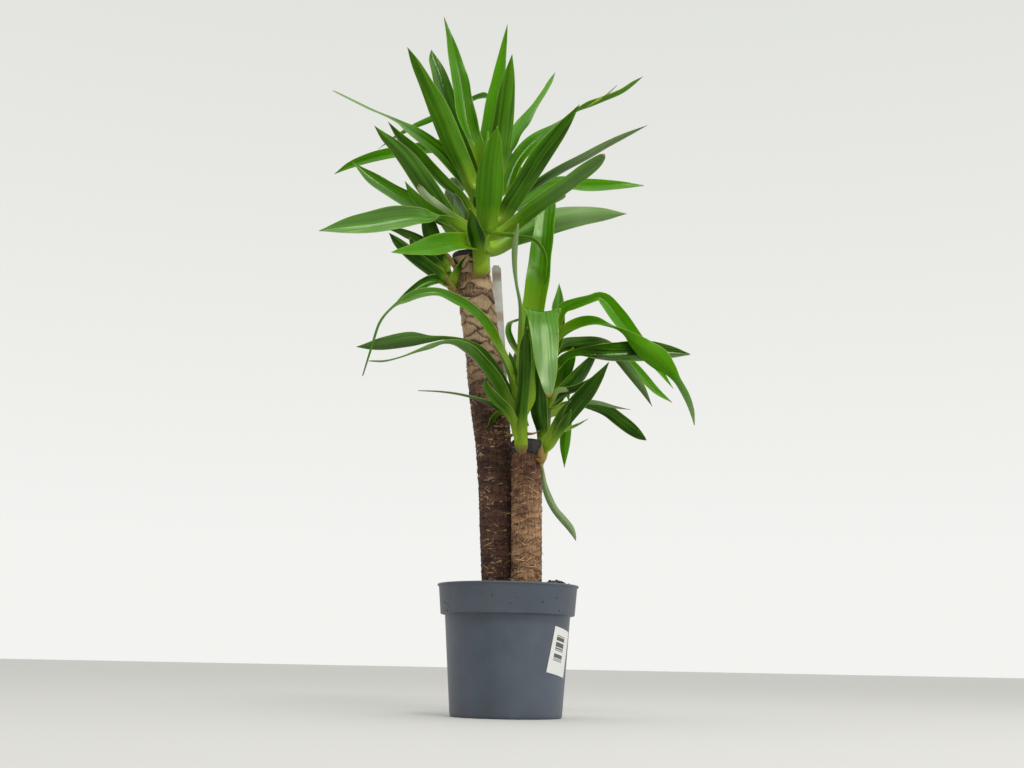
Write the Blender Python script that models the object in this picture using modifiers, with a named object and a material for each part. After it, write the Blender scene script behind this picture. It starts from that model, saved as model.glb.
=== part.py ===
"""A potted yucca: two cut canes in a nursery pot, with a head of sword leaves on each.

Metres, +Z up. The origin is the centre of the pot's base, on the ground. +X is to the right of
somebody who stands in front of the plant, and -Y points at them. Sizes below are in millimetres.
"""

import bpy
import bmesh
import math
import random
from mathutils import Matrix, Vector

MM = 0.001

# The pot: a 17 cm nursery pot, moulded in grey polypropylene.
POT_HEIGHT = 156.0
LIP_RADIUS = 86.0
WALL = 1.6
BASE_RADIUS = 67.0
SHOULDER_Z = 119.0          # where the body meets the wider rim band
SHOULDER_RADIUS = 76.0
BAND_RADIUS = (81.3, 84.2)  # rim band, bottom and top
FLOOR_STEP = 3.0            # height of the raised ring in the base, which holds the drain holes
DRAIN_RADIUS = 48.0
DRAIN_HOLE = 9.0
DRAIN_COUNT = 8

# The soil fills the pot to just under the lip.
SOIL_BOTTOM = 6.0
SOIL_TOP = 147.0
GAP = 0.3                   # pieces that touch keep this much room

# The tall cane and the short cane: height, and the place and radius of the middle there.
CANE_SINK = 45.0            # length of a cane below the soil's top
TALL_Y = 12.0
TALL_TOP = 573.0
TALL = [
    # z, x, radius
    (102, -10, 21.5), (150, -10, 21.5), (165, -10, 22.5), (215, -13, 22.5), (265, -16, 22.0),
    (325, -21, 22.0), (390, -30, 22.5), (455, -38, 22.0), (520, -48, 22.0), (573, -57, 22.5),
]
SHORT_Y = -16.0
SHORT_TOP = 322.0
SHORT = [
    (102, 22, 17.0), (150, 22, 17.0), (165, 22, 18.0), (240, 21, 18.0), (322, 20, 18.0),
]
ROOT_HOLE_GAP = 0.4
WAX = 0.8                   # thickness of the dark wax dip on a cane's cut end
WAX_SKIRT = {"tall": 13.0, "short": 6.0}

# Each shoot grows out of the bark on a stem of its own: x, y, z and radius up the stem.
STEMS = {
    "upper_front": [
        (-50, -2, 540, 8), (-43, -10, 554, 11), (-42, -14, 582, 10), (-40, -16, 620, 9),
        (-38, -12, 670, 7), (-38, -8, 715, 5), (-38, -5, 745, 2),
    ],
    "upper_back": [
        (-62, 24, 540, 8), (-60, 33, 556, 9), (-57, 40, 590, 8), (-52, 43, 650, 7),
        (-46, 41, 710, 5), (-44, 38, 750, 2),
    ],
    "upper_left": [
        (-72, 9, 526, 7), (-84, 6, 540, 7.5), (-95, 2, 554, 6.5), (-103, 0, 575, 5), (-106, 0, 592, 2.5),
    ],
    "lower_front": [
        (18, -24, 303, 8), (12, -33, 320, 9.5), (12, -36, 348, 8), (14, -39, 385, 6), (16, -40, 428, 3),
    ],
    "lower_right": [
        (30, -17, 297, 7), (37, -18, 312, 8), (41, -15, 347, 7.5), (44, -8, 392, 6.5),
        (50, 0, 430, 5), (53, 2, 462, 2.5),
    ],
}
STEM_SIDES = 10

# Each leaf: the height of its root on the stem, the points that its midrib passes through, from
# the stem out to the tip, its full width, and how far the blade has turned about its midrib, in
# degrees, near its middle and at its tip. At its root every blade faces the stem.
LEAVES = {
    "upper_front": {
        "centre": (585, [(-35, -40, 620), (-28, -85, 665), (-23, -120, 700)], 40, 0, 0),
        "low_fan": (560, [(-44, -35, 580), (-50, -55, 596), (-56, -75, 612)], 28, 10, 15),
        "low_left": (575, [(-52, -38, 587), (-75, -60, 572), (-110, -95, 556), (-145, -120, 540)], 28, -75, -60),
        "thin_right": (575, [(-20, -28, 597), (12, -38, 587), (32, -45, 562)], 8, -40, -40),
        "long_left": (590, [(-68, -30, 610), (-95, -45, 606), (-150, -70, 601), (-235, -100, 570)], 34, -85, -80),
        "long_right": (575, [(-15, 5, 590), (35, 30, 626), (90, 45, 646), (150, 55, 657)], 38, -75, -75),
        "blunt_right": (590, [(-18, -20, 600), (25, -45, 620), (60, -75, 645), (110, -110, 668)], 28, -50, -60),
        "dark_right": (610, [(-20, -2, 632), (25, -10, 690), (80, -30, 774)], 34, -75, -75),
        "spear_right": (660, [(-17, 0, 708), (-12, -15, 765), (-8, -40, 835)], 29, -50, -45),
        "edge_right": (620, [(-13, 12, 640), (28, 25, 670), (92, 30, 715), (177, 20, 770)], 26, -25, -15),
        "spear_left": (660, [(-55, -2, 700), (-95, -15, 770), (-144, -40, 846)], 31, 65, 60),
        "dark_left": (600, [(-68, -5, 630), (-117, -25, 675), (-181, -50, 730)], 29, 65, 60),
        "narrow_left": (615, [(-60, 0, 645), (-100, 0, 692), (-167, -20, 748)], 20, 40, 40),
        "behind_left": (600, [(-60, 12, 622), (-86, 18, 638), (-140, 25, 666), (-214, 20, 708)], 24, -75, -60),
        "short_left": (590, [(-74, -12, 613), (-105, -30, 624), (-136, -55, 643)], 22, 30, 40),
        "folded_left": (595, [(-72, -5, 608), (-100, -15, 624), (-121, -20, 652)], 26, 60, 60),
        "inner_left": (600, [(-66, 2, 624), (-76, 8, 651), (-85, 12, 680)], 18, 40, 30),
    },
    "upper_back": {
        "top_right": (690, [(-40, 32, 740), (-28, 50, 830), (-17, 60, 930)], 28, 45, 55),
        "pale_right": (680, [(-22, 42, 724), (5, 70, 790), (53, 110, 887)], 24, 30, 40),
        "far_right": (650, [(-15, 48, 698), (15, 70, 755), (88, 95, 812), (176, 100, 878)], 26, 55, 40),
        "low_right": (620, [(5, 60, 668), (68, 95, 708), (118, 120, 720), (180, 130, 726)], 24, 45, 40),
        "top_left": (690, [(-52, 24, 735), (-70, 30, 820), (-102, 30, 926)], 25, -80, -80),
        "top_left_back": (680, [(-62, 45, 724), (-86, 60, 812), (-120, 60, 892)], 28, -60, -60),
        "far_left": (640, [(-72, 45, 681), (-118, 60, 745), (-162, 80, 791), (-262, 110, 854)], 25, -60, -40),
        "wide_left": (690, [(-84, 70, 743), (-135, 110, 761), (-195, 140, 765), (-262, 160, 747)], 30, -85, -60),
        "arched": (705, [(-38, 70, 795), (-44, 125, 856), (-76, 150, 863), (-142, 170, 834), (-200, 180, 797)],
                   14, 10, 0),
    },
    "upper_left": {
        "up": (560, [(-98, 12, 590), (-106, 8, 610), (-114, 0, 640)], 24, 80, 70),
        "out": (555, [(-108, 8, 580), (-131, 20, 602), (-166, 35, 622)], 18, 35, 30),
        "front": (545, [(-112, -12, 556), (-135, -25, 567), (-159, -40, 589)], 20, 20, 20),
        "down": (540, [(-112, -10, 537), (-130, -20, 521), (-147, -30, 502)], 16, 80, 70),
        "thin": (550, [(-100, -18, 562), (-110, -38, 568), (-129, -60, 575)], 9, -10, 0),
    },
    "lower_front": {
        "arch_high": (360, [(8, -48, 395), (-16, -70, 449), (-49, -85, 482), (-101, -100, 500), (-142, -110, 477)],
                      20, 20, 20),
        "arch_low": (340, [(5, -50, 370), (-21, -75, 410), (-61, -100, 437), (-103, -120, 422), (-164, -140, 401)],
                     20, 20, 20),
        "arch_wide": (355, [(0, -45, 384), (-27, -60, 426), (-70, -75, 445), (-123, -90, 437), (-186, -100, 428)],
                      25, 65, 60),
        "thin_left": (320, [(2, -44, 342), (-31, -62, 368), (-67, -85, 372), (-109, -105, 371)], 14, 10, 10),
        "spike_left": (320, [(6, -52, 340), (-14, -88, 366), (-31, -116, 391)], 13, 20, 20),
        "inner_left": (318, [(-5, -42, 345), (-30, -55, 366)], 14, 20, 20),
        "upright": (400, [(18, -35, 443), (27, -25, 537), (43, 0, 633), (53, 8, 670)], 34, 10, 20),
        "needle": (415, [(8, -48, 450), (0, -62, 537), (4, -72, 598)], 10, 0, 0),
        "drooping": (370, [(24, -45, 403), (29, -60, 463), (32, -90, 477), (38, -125, 430), (45, -140, 363)],
                     40, 10, 20),
        "front": (325, [(15, -50, 352), (16, -80, 407), (18, -105, 452)], 20, -10, 0),
        "dark_front": (320, [(26, -38, 343), (28, -50, 402), (34, -60, 456)], 24, -40, -40),
        "curl": (400, [(7, -12, 449), (-4, 5, 472), (0, 20, 492), (8, 30, 485)], 18, -10, 0),
    },
    "lower_right": {
        "spear": (430, [(50, 12, 457), (54, 24, 502), (59, 32, 547)], 21, 0, 20),
        "bent": (440, [(56, 0, 479), (76, 0, 506), (106, -2, 516), (135, -8, 474), (199, -20, 403)], 26, 60, 60),
        "arch_front": (430, [(60, 0, 468), (88, -30, 478), (126, -50, 464), (182, -66, 428), (218, -80, 345)],
                       32, -85, -80),
        "arch_back": (425, [(62, 18, 468), (101, 45, 482), (148, 60, 469), (209, 70, 404)], 25, 80, 70),
        "arch_mid": (420, [(60, 6, 455), (114, 18, 463), (153, 25, 439), (182, 28, 393)], 24, -55, -60),
        "level": (410, [(56, -4, 440), (86, -10, 453), (136, -8, 464), (227, -5, 459)], 30, 55, 50),
        "short_up": (370, [(57, -5, 400), (79, -5, 416), (105, -10, 441)], 22, -55, -50),
        "dark_up": (325, [(50, -25, 345), (78, -40, 380), (118, -60, 421)], 26, -60, -60),
        "low": (360, [(62, 10, 384), (99, 40, 390), (134, 50, 376), (174, 50, 349)], 24, -60, -60),
        "hook": (350, [(56, 10, 371), (70, 32, 363), (69, 42, 309)], 16, -20, -20),
        "hanging": (312, [(52, -4, 322), (48, 26, 300), (44, 42, 272), (58, 50, 249), (85, 55, 219)], 15, -35, -30),
        "sprout_a": (320, [(50, -35, 337), (59, -45, 354), (73, -60, 371)], 16, -25, -20),
        "sprout_b": (312, [(50, -28, 322), (62, -48, 347), (70, -68, 359)], 14, -20, -20),
        "behind_up": (380, [(53, 5, 408), (63, 10, 436), (79, 20, 465)], 23, 45, 45),
        "thin": (335, [(57, 0, 349), (74, 10, 356), (97, 20, 368)], 8, 40, 40),
    },
}
# Leaves on the far side, which no front view shows, follow a rule: they fan out round the stem.
FAR_LEAVES = {
    # stem: first root height, step in height, bearings in degrees from +X, length, width
    "upper_back": (600, 18, (62, 98, 80, 134, 116, 88), 220, 30),
    "lower_right": (340, 22, (65, 92, 50, 80), 160, 26),
}

BLADE_THICKNESS = 1.0
# Share of the full width along a leaf: pinched above the root, widest past the middle, then a point.
BLADE_SHAPE = [(0.0, 0.5), (0.1, 0.45), (0.3, 0.85), (0.5, 1.0), (0.7, 0.93), (0.86, 0.6), (0.95, 0.28), (1.0, 0.05)]
# How far each half of a blade is folded up from flat, in degrees, along a leaf.
BLADE_FOLD = [(0.0, 45.0), (0.2, 35.0), (0.5, 18.0), (1.0, 8.0)]
ROW_LENGTH = 44.0           # a blade has a row of points about this often


def between(table, t):
    """The value at t in a table of (place, value), on a straight line between its rows."""
    for (a, low), (b, high) in zip(table, table[1:]):
        if t <= b:
            return low + (high - low) * (t - a) / (b - a)
    return table[-1][1]


def smooth_path(points, count):
    """count points, evenly spaced on a smooth curve through the given points."""
    points = [Vector(p) for p in points]
    ends = [2 * points[0] - points[1]] + points + [2 * points[-1] - points[-2]]
    dense = []
    for p0, p1, p2, p3 in zip(ends, ends[1:], ends[2:], ends[3:]):
        t0 = 0.0
        t1 = t0 + math.sqrt((p1 - p0).length)
        t2 = t1 + math.sqrt((p2 - p1).length)
        t3 = t2 + math.sqrt((p3 - p2).length)
        for step in range(12):
            t = t1 + (t2 - t1) * step / 12
            a1 = p0.lerp(p1, (t - t0) / (t1 - t0))
            a2 = p1.lerp(p2, (t - t1) / (t2 - t1))
            a3 = p2.lerp(p3, (t - t2) / (t3 - t2))
            b1 = a1.lerp(a2, (t - t0) / (t2 - t0))
            b2 = a2.lerp(a3, (t - t1) / (t3 - t1))
            dense.append(b1.lerp(b2, (t - t1) / (t2 - t1)))
    dense.append(points[-1])
    lengths = [0.0]
    for p, q in zip(dense, dense[1:]):
        lengths.append(lengths[-1] + (q - p).length)
    path, i = [], 0
    for k in range(count):
        want = lengths[-1] * k / (count - 1)
        while i < len(dense) - 2 and lengths[i + 1] < want:
            i += 1
        path.append(dense[i].lerp(dense[i + 1], (want - lengths[i]) / (lengths[i + 1] - lengths[i])))
    return path


def stem_point(stem, z):
    """The middle of a stem at height z."""
    rows = STEMS[stem]
    x = between([(row[2], row[0]) for row in rows], z)
    y = between([(row[2], row[1]) for row in rows], z)
    return Vector((x, y, z))


def blade_rows(stem, leaf):
    """The midrib's points with the sideways and upward directions and the half width at each."""
    root, points, width, turn_middle, turn_tip = leaf
    through = [stem_point(stem, root)] + [Vector(p) for p in points]
    reach = sum((q - p).length for p, q in zip(through, through[1:]))
    count = max(5, min(10, round(reach / ROW_LENGTH) + 2))
    path = smooth_path(through, count)
    out = path[-1] - path[0]
    across = Vector((-out.y, out.x, 0)).normalized()
    rows = []
    for i, middle in enumerate(path):
        t = i / (count - 1)
        along = (path[min(i + 1, count - 1)] - path[max(i - 1, 0)]).normalized()
        side = (across - along * across.dot(along)).normalized()
        turn = math.radians(between([(0, 0), (0.4, turn_middle), (1, turn_tip)], t))
        side = Matrix.Rotation(turn, 3, along) @ side
        up = along.cross(side)
        rows.append((middle, side, up, width / 2 * between(BLADE_SHAPE, t), between(BLADE_FOLD, t)))
    return rows


def far_leaves(stem):
    """The leaves of the far side, in the same form as those of LEAVES."""
    first, step, bearings, length, width = FAR_LEAVES[stem]
    leaves = {}
    for k, bearing in enumerate(bearings):
        root = first + step * k
        foot = stem_point(stem, root)
        out = Vector((math.cos(math.radians(bearing)), math.sin(math.radians(bearing)), 0))
        reach = length * (1.0 + 0.12 * math.sin(2.3 * k))
        rise = 0.25 + 0.1 * math.sin(1.7 * k + 1)
        points = [
            foot + out * 14 + Vector((0, 0, 26)),
            foot + out * reach * 0.5 + Vector((0, 0, 26 + reach * rise)),
            foot + out * reach * 0.95 + Vector((0, 0, 10 + reach * (rise - 0.1))),
        ]
        leaves["far_%d" % (k + 1)] = (root, points, width, 0, 0)
    return leaves


def leaves_of(stem):
    return {**LEAVES[stem], **(far_leaves(stem) if stem in FAR_LEAVES else {})}


def material(name, colour, roughness, metallic=0.0):
    mat = bpy.data.materials.new(name)
    mat.use_nodes = True
    shader = mat.node_tree.nodes["Principled BSDF"]
    shader.inputs["Base Color"].default_value = (*colour, 1)
    shader.inputs["Roughness"].default_value = roughness
    shader.inputs["Metallic"].default_value = metallic
    mat.diffuse_color = (*colour, 1)
    return mat


def new_object(name, mesh, where, mat=None):
    obj = bpy.data.objects.new(name, mesh)
    where.objects.link(obj)
    if mat:
        mesh.materials.append(mat)
    return obj


def mesh_from(name, points, faces, smooth=False):
    """A mesh from points in millimetres, with its faces turned outward."""
    mesh = bpy.data.meshes.new(name)
    mesh.from_pydata([Vector(p) * MM for p in points], [], faces)
    work = bmesh.new()
    work.from_mesh(mesh)
    bmesh.ops.recalc_face_normals(work, faces=work.faces)
    work.to_mesh(mesh)
    work.free()
    if smooth:
        mesh.shade_smooth()
    return mesh


def turned(name, profile, where, mat, steps=48):
    """A turned solid: a profile of (radius, z) that starts and ends on the axis."""
    mesh = bpy.data.meshes.new(name)
    points = [(r * MM, 0, z * MM) for r, z in profile]
    mesh.from_pydata(points, [(i, i + 1) for i in range(len(points) - 1)], [])
    obj = new_object(name, mesh, where, mat)
    screw = obj.modifiers.new("Turn", "SCREW")
    screw.steps = screw.render_steps = steps
    screw.use_merge_vertices = True
    screw.merge_threshold = 0.00005
    return obj


def loft(name, rings, smooth=True):
    """A closed skin over rings of points, with a flat end at both ends."""
    sides = len(rings[0])
    points = [p for ring in rings for p in ring]
    faces = [tuple(range(sides)), tuple(range(len(points) - sides, len(points)))]
    for i in range(len(rings) - 1):
        for j in range(sides):
            a, b = i * sides + j, i * sides + (j + 1) % sides
            faces += [(a, b, b + sides), (a, b + sides, a + sides)]
    return mesh_from(name, points, faces, smooth)


def ring(middle, radius, sides):
    return [
        (middle[0] + radius * math.cos(math.tau * j / sides), middle[1] + radius * math.sin(math.tau * j / sides),
         middle[2])
        for j in range(sides)
    ]


def flattened(obj, where, mat):
    """The object with its modifiers applied, as a new object of the same name."""
    mesh = bpy.data.meshes.new_from_object(obj.evaluated_get(bpy.context.evaluated_depsgraph_get()))
    name = obj.name
    bpy.data.objects.remove(obj)
    mesh.name = name
    mesh.materials.clear()
    return new_object(name, mesh, where, mat)


def drop_pockets(mesh):
    """Removes the skin of each sealed pocket, which is left where several leaf roots meet."""
    work = bmesh.new()
    work.from_mesh(mesh)
    waiting = set(work.verts)
    while waiting:
        island, edge = set(), {waiting.pop()}
        while edge:
            point = edge.pop()
            island.add(point)
            edge |= {e.other_vert(point) for e in point.link_edges} - island
        waiting -= island
        faces = {face for point in island for face in point.link_faces}
        volume = 0.0
        for face in faces:
            corners = [v.co for v in face.verts]
            for b, c in zip(corners[1:], corners[2:]):
                volume += corners[0].dot(b.cross(c)) / 6
        if volume <= 0:
            bmesh.ops.delete(work, geom=list(island), context="VERTS")
    work.to_mesh(mesh)
    work.free()


def boolean(obj, operation, other):
    """Cuts or joins another object, or every object of a collection."""
    step = obj.modifiers.new(operation.title(), "BOOLEAN")
    step.operation = operation
    step.solver = "EXACT"
    if isinstance(other, bpy.types.Collection):
        step.operand_type = "COLLECTION"
        step.collection = other
    else:
        step.object = other
    return step


def helper(obj):
    obj.hide_render = True
    obj.display_type = "WIRE"
    return obj


def stem_mesh(name, stem, spare=0.0, sides=STEM_SIDES):
    """A shoot's stem, or with spare room around it the socket that it sits in."""
    rows = STEMS[stem]
    rings = []
    for x, y, z, radius in rows:
        rings.append(ring((x, y, z), radius + spare, sides))
    if spare:
        low = rows[0]
        rings.insert(0, ring((low[0], low[1], low[2] - spare), low[3] + spare, sides))
        del rings[1]
    return loft(name, rings)


def blade_mesh(name, rows):
    """An open, folded blade: three points across, in triangles that lie alike on both faces."""
    points, faces = [], []
    for middle, side, up, half, fold in rows:
        lean = math.radians(fold)
        edge = side * half * math.cos(lean)
        lift = up * half * math.sin(lean)
        points += [middle - edge + lift, middle, middle + edge + lift]
    for i in range(len(rows) - 1):
        a, b = 3 * i, 3 * i + 3
        faces += [(a, a + 1, b + 1), (a, b + 1, b), (a + 1, a + 2, b + 1), (a + 2, b + 2, b + 1)]
    return mesh_from(name, points, faces)


def make_shoot(stem, part, helpers, mat):
    """One shoot: its stem and leaves joined into a single solid."""
    group = bpy.data.collections.new("Leaves " + stem)
    helpers.children.link(group)
    for name, leaf in leaves_of(stem).items():
        blade = helper(new_object(stem + "_" + name, blade_mesh(stem + "_" + name, blade_rows(stem, leaf)), group))
        thick = blade.modifiers.new("Thickness", "SOLIDIFY")
        thick.thickness = BLADE_THICKNESS * MM
        thick.offset = 0
    body = new_object("shoot_" + stem, stem_mesh("shoot_" + stem, stem), part)
    boolean(body, "UNION", group)
    shoot = flattened(body, part, mat)
    drop_pockets(shoot.data)
    for blade in list(group.objects):
        bpy.data.objects.remove(blade)
    bpy.data.collections.remove(group)
    return shoot


def cane_relief(z, angle, low, high):
    """How far the bark stands out: fine rings low down, slanted leaf-scar plates higher up."""
    share = (z - low) / (high - low)
    plates = max(math.cos(3 * angle + 0.16 * z), math.cos(3 * angle - 0.13 * z + 1))
    rings = math.sin(0.55 * z + 0.6 * math.sin(2 * angle))
    return 0.9 * share * (plates - 0.4) + 0.35 * rings


def make_cane(name, table, y, top, sides, row, helpers, part, mat, stems, wax):
    """A cut cane. Its foot, in the soil, is a plain cylinder, and the shoots sit in sockets."""
    xs = [(z, x) for z, x, _ in table]
    radii = [(z, r) for z, _, r in table]
    bottom = table[0][0]
    bark_from, bark_to = 156.0, top - WAX_SKIRT[wax] - 5.0
    heights = [bottom, 150.0]
    count = round((bark_to - bark_from) / row)
    heights += [bark_from + (bark_to - bark_from) * k / count for k in range(count + 1)]
    heights += [top - WAX_SKIRT[wax] - 1.0, top]
    rings = []
    for z in heights:
        around = []
        for j in range(sides):
            angle = math.tau * j / sides
            radius = between(radii, z)
            if bark_from < z < bark_to:
                radius += cane_relief(z, angle, bark_from, bark_to)
            around.append((between(xs, z) + radius * math.cos(angle), y + radius * math.sin(angle), z))
        rings.append(around)
    cane = new_object(name, loft(name, rings), part, mat)
    for stem in stems:
        socket = helper(new_object("socket_" + stem, stem_mesh("socket_" + stem, stem, GAP), helpers))
        boolean(cane, "DIFFERENCE", socket)
    return cane


def make_wax(name, table, y, top, wax, part, mat, stems):
    """The wax dip on a cut end: a thin cup, upside down over the cane."""
    xs = [(z, x) for z, x, _ in table]
    inner = table[-1][2] + GAP + 0.1
    outer = inner + WAX
    low = top - WAX_SKIRT[wax]
    lid = top + GAP
    rings = [
        ring((between(xs, z), y, z), radius, 24)
        for z, radius in [(lid, inner), (low, inner), (low, outer), (lid, outer), (lid + WAX, outer - 1.5)]
    ]
    cup = new_object(name, loft(name, rings, smooth=False), part, mat)
    for stem in stems:
        boolean(cup, "DIFFERENCE", bpy.data.objects["socket_" + stem])
    return cup


def wall_inside(z):
    """Inner radius of the pot's wall at height z, below the rim band."""
    return BASE_RADIUS - WALL + (SHOULDER_RADIUS - BASE_RADIUS) * z / SHOULDER_Z


def make_pot(part, helpers, mat):
    band_low, band_high = BAND_RADIUS
    profile = [
        (0, WALL), (33, WALL), (36, WALL + FLOOR_STEP), (60, WALL + FLOOR_STEP), (62, WALL),
        (wall_inside(WALL), WALL), (wall_inside(SHOULDER_Z), SHOULDER_Z),
        (band_low - WALL, SHOULDER_Z + 3.5), (band_high - WALL, POT_HEIGHT - 1.0), (LIP_RADIUS - 3.2, POT_HEIGHT),
        (LIP_RADIUS, POT_HEIGHT), (LIP_RADIUS, POT_HEIGHT - 2.2), (band_high, POT_HEIGHT - 2.2),
        (band_low, SHOULDER_Z + 1.0), (SHOULDER_RADIUS, SHOULDER_Z), (BASE_RADIUS + 0.3, 4.0),
        (BASE_RADIUS - 1.5, 0), (63, 0), (61, FLOOR_STEP), (35, FLOOR_STEP), (32, 0), (0, 0),
    ]
    pot = turned("pot", profile, part, mat, steps=48)
    for k in range(DRAIN_COUNT):
        angle = math.tau * (k + 0.5) / DRAIN_COUNT
        bpy.ops.mesh.primitive_cylinder_add(
            vertices=12, radius=DRAIN_HOLE / 2 * MM, depth=12 * MM,
            location=(DRAIN_RADIUS * MM * math.cos(angle), DRAIN_RADIUS * MM * math.sin(angle), 4 * MM),
        )
        hole = helper(bpy.context.active_object)
        hole.name = "drain_%d" % (k + 1)
        for old in list(hole.users_collection):
            old.objects.unlink(hole)
        helpers.objects.link(hole)
        boolean(pot, "DIFFERENCE", hole)
    return pot


def make_soil(part, helpers, mat):
    """Potting soil, with a hole for each cane, a slot for the label and a few bark chips on top."""
    band_low = BAND_RADIUS[0]
    room = GAP
    edge = band_low - WALL - room + 2.0
    profile = [(0, SOIL_TOP + 1), (20, SOIL_TOP + 1.5), (40, SOIL_TOP), (60, SOIL_TOP + 0.5), (edge, SOIL_TOP - 3)]
    profile += [
        (band_low - WALL - room, SHOULDER_Z + 4.2),
        (wall_inside(SHOULDER_Z) - room, SHOULDER_Z + 0.4),
        (wall_inside(SOIL_BOTTOM) - room, SOIL_BOTTOM), (0, SOIL_BOTTOM),
    ]
    soil = turned("soil", profile, helpers, mat, steps=40)
    soil = flattened(soil, part, mat)
    for point in soil.data.vertices:
        if point.co.z > (SOIL_TOP - 4) * MM:
            radius = math.hypot(point.co.x, point.co.y) / MM
            angle = math.atan2(point.co.y, point.co.x)
            lump = 1.3 * math.sin(3 * angle + radius / 9) + 0.8 * math.sin(7 * angle - radius / 5)
            point.co.z += lump * MM * min(1.0, radius / 30) * (radius < 75)
    chips = bpy.data.collections.new("Chips")
    helpers.children.link(chips)
    for k, (x, y, z, size, turn) in enumerate(CHIPS):
        bpy.ops.mesh.primitive_cube_add(size=1, location=(x * MM, y * MM, z * MM))
        chip = helper(bpy.context.active_object)
        chip.name = "chip_%d" % (k + 1)
        chip.scale = (size * MM, size * 0.6 * MM, size * 0.8 * MM)
        chip.rotation_euler = (math.radians(turn), math.radians(turn * 0.7 + 20), math.radians(turn * 2))
        for old in list(chip.users_collection):
            old.objects.unlink(chip)
        chips.objects.link(chip)
    boolean(soil, "UNION", chips)
    holes = [("tall", TALL, TALL_Y), ("short", SHORT, SHORT_Y)]
    for name, table, y in holes:
        _, x, radius = table[0]
        bpy.ops.mesh.primitive_cylinder_add(
            vertices=24, radius=(radius + ROOT_HOLE_GAP) * MM / math.cos(math.pi / 24), depth=80 * MM,
            location=(x * MM, y * MM, (table[0][0] - GAP + 40) * MM),
        )
        hole = helper(bpy.context.active_object)
        hole.name = "hole_" + name
        for old in list(hole.users_collection):
            old.objects.unlink(hole)
        helpers.objects.link(hole)
        boolean(soil, "DIFFERENCE", hole)
    slot = helper(new_object("slot_label", label_mesh("slot_label", 0.4), helpers))
    boolean(soil, "DIFFERENCE", slot)
    return soil


# Bark chips on the soil: place, size and turn. Most stand near the rim, where they show above it.
CHIPS = [
    (36, -64, 150, 15, 20), (46, -57, 150, 14, 50), (-35, -62, 148, 12, 75), (60, 20, 148, 14, 10),
    (-58, 30, 148, 13, 35), (5, -58, 148, 11, 60), (-5, 62, 148, 13, 15), (42, 48, 148, 12, 80),
]

# The label: a thin plastic strip stuck in the soil behind the tall cane.
LABEL_WIDTH = 12.0
LABEL_THICKNESS = 0.8
LABEL_Y = 46.0
LABEL = [(9, 118), (5, 168), (-2, 290), (-12, 416), (-24, 578)]   # x, z up the middle


def label_mesh(name, spare=0.0):
    path = smooth_path([(x, LABEL_Y, z) for x, z in LABEL], 12)
    rings = []
    if spare:
        path = [path[0] - Vector((0, 0, 0.5))] + path[1:]
    for i, middle in enumerate(path):
        half = LABEL_WIDTH / 2 + spare
        if i == len(path) - 1:
            half *= 0.55
        back = LABEL_THICKNESS / 2 + spare
        x, y, z = middle
        rings.append([(x - half, y - back, z), (x + half, y - back, z), (x + half, y + back, z), (x - half, y + back, z)])
        if i == len(path) - 2 and not spare:
            near = middle.lerp(path[-1], 0.9)
            rings.append([
                (near.x - half, y - back, near.z), (near.x + half, y - back, near.z),
                (near.x + half, y + back, near.z), (near.x - half, y + back, near.z),
            ])
    return loft(name, rings, smooth=False)


# The price sticker on the pot: where its middle is, its size, and how far it leans.
STICKER_BEARING = -31.0     # degrees from +X, so it is on the right, towards the front
STICKER_Z = 77.0
STICKER_SIZE = (38.0, 54.0)
STICKER_LEAN = -10.0
STICKER_THICKNESS = 0.3


def make_sticker(part, mat):
    """A blank paper rectangle, bent round the pot's side."""
    columns, rows = 9, 7
    width, height = STICKER_SIZE
    lean = math.radians(STICKER_LEAN)
    points, faces = [], []
    for j in range(rows):
        for i in range(columns):
            u = width * (i / (columns - 1) - 0.5)
            v = height * (j / (rows - 1) - 0.5)
            across = u * math.cos(lean) - v * math.sin(lean)
            z = STICKER_Z + u * math.sin(lean) + v * math.cos(lean)
            radius = wall_inside(z) + WALL + GAP
            angle = math.radians(STICKER_BEARING) + across / radius
            points.append((radius * math.cos(angle), radius * math.sin(angle), z))
    for j in range(rows - 1):
        for i in range(columns - 1):
            a = j * columns + i
            faces += [(a, a + 1, a + columns + 1), (a, a + columns + 1, a + columns)]
    sticker = new_object("sticker", mesh_from("sticker", points, faces), part, mat)
    thick = sticker.modifiers.new("Thickness", "SOLIDIFY")
    thick.thickness = STICKER_THICKNESS * MM
    thick.offset = 1
    return sticker


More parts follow.
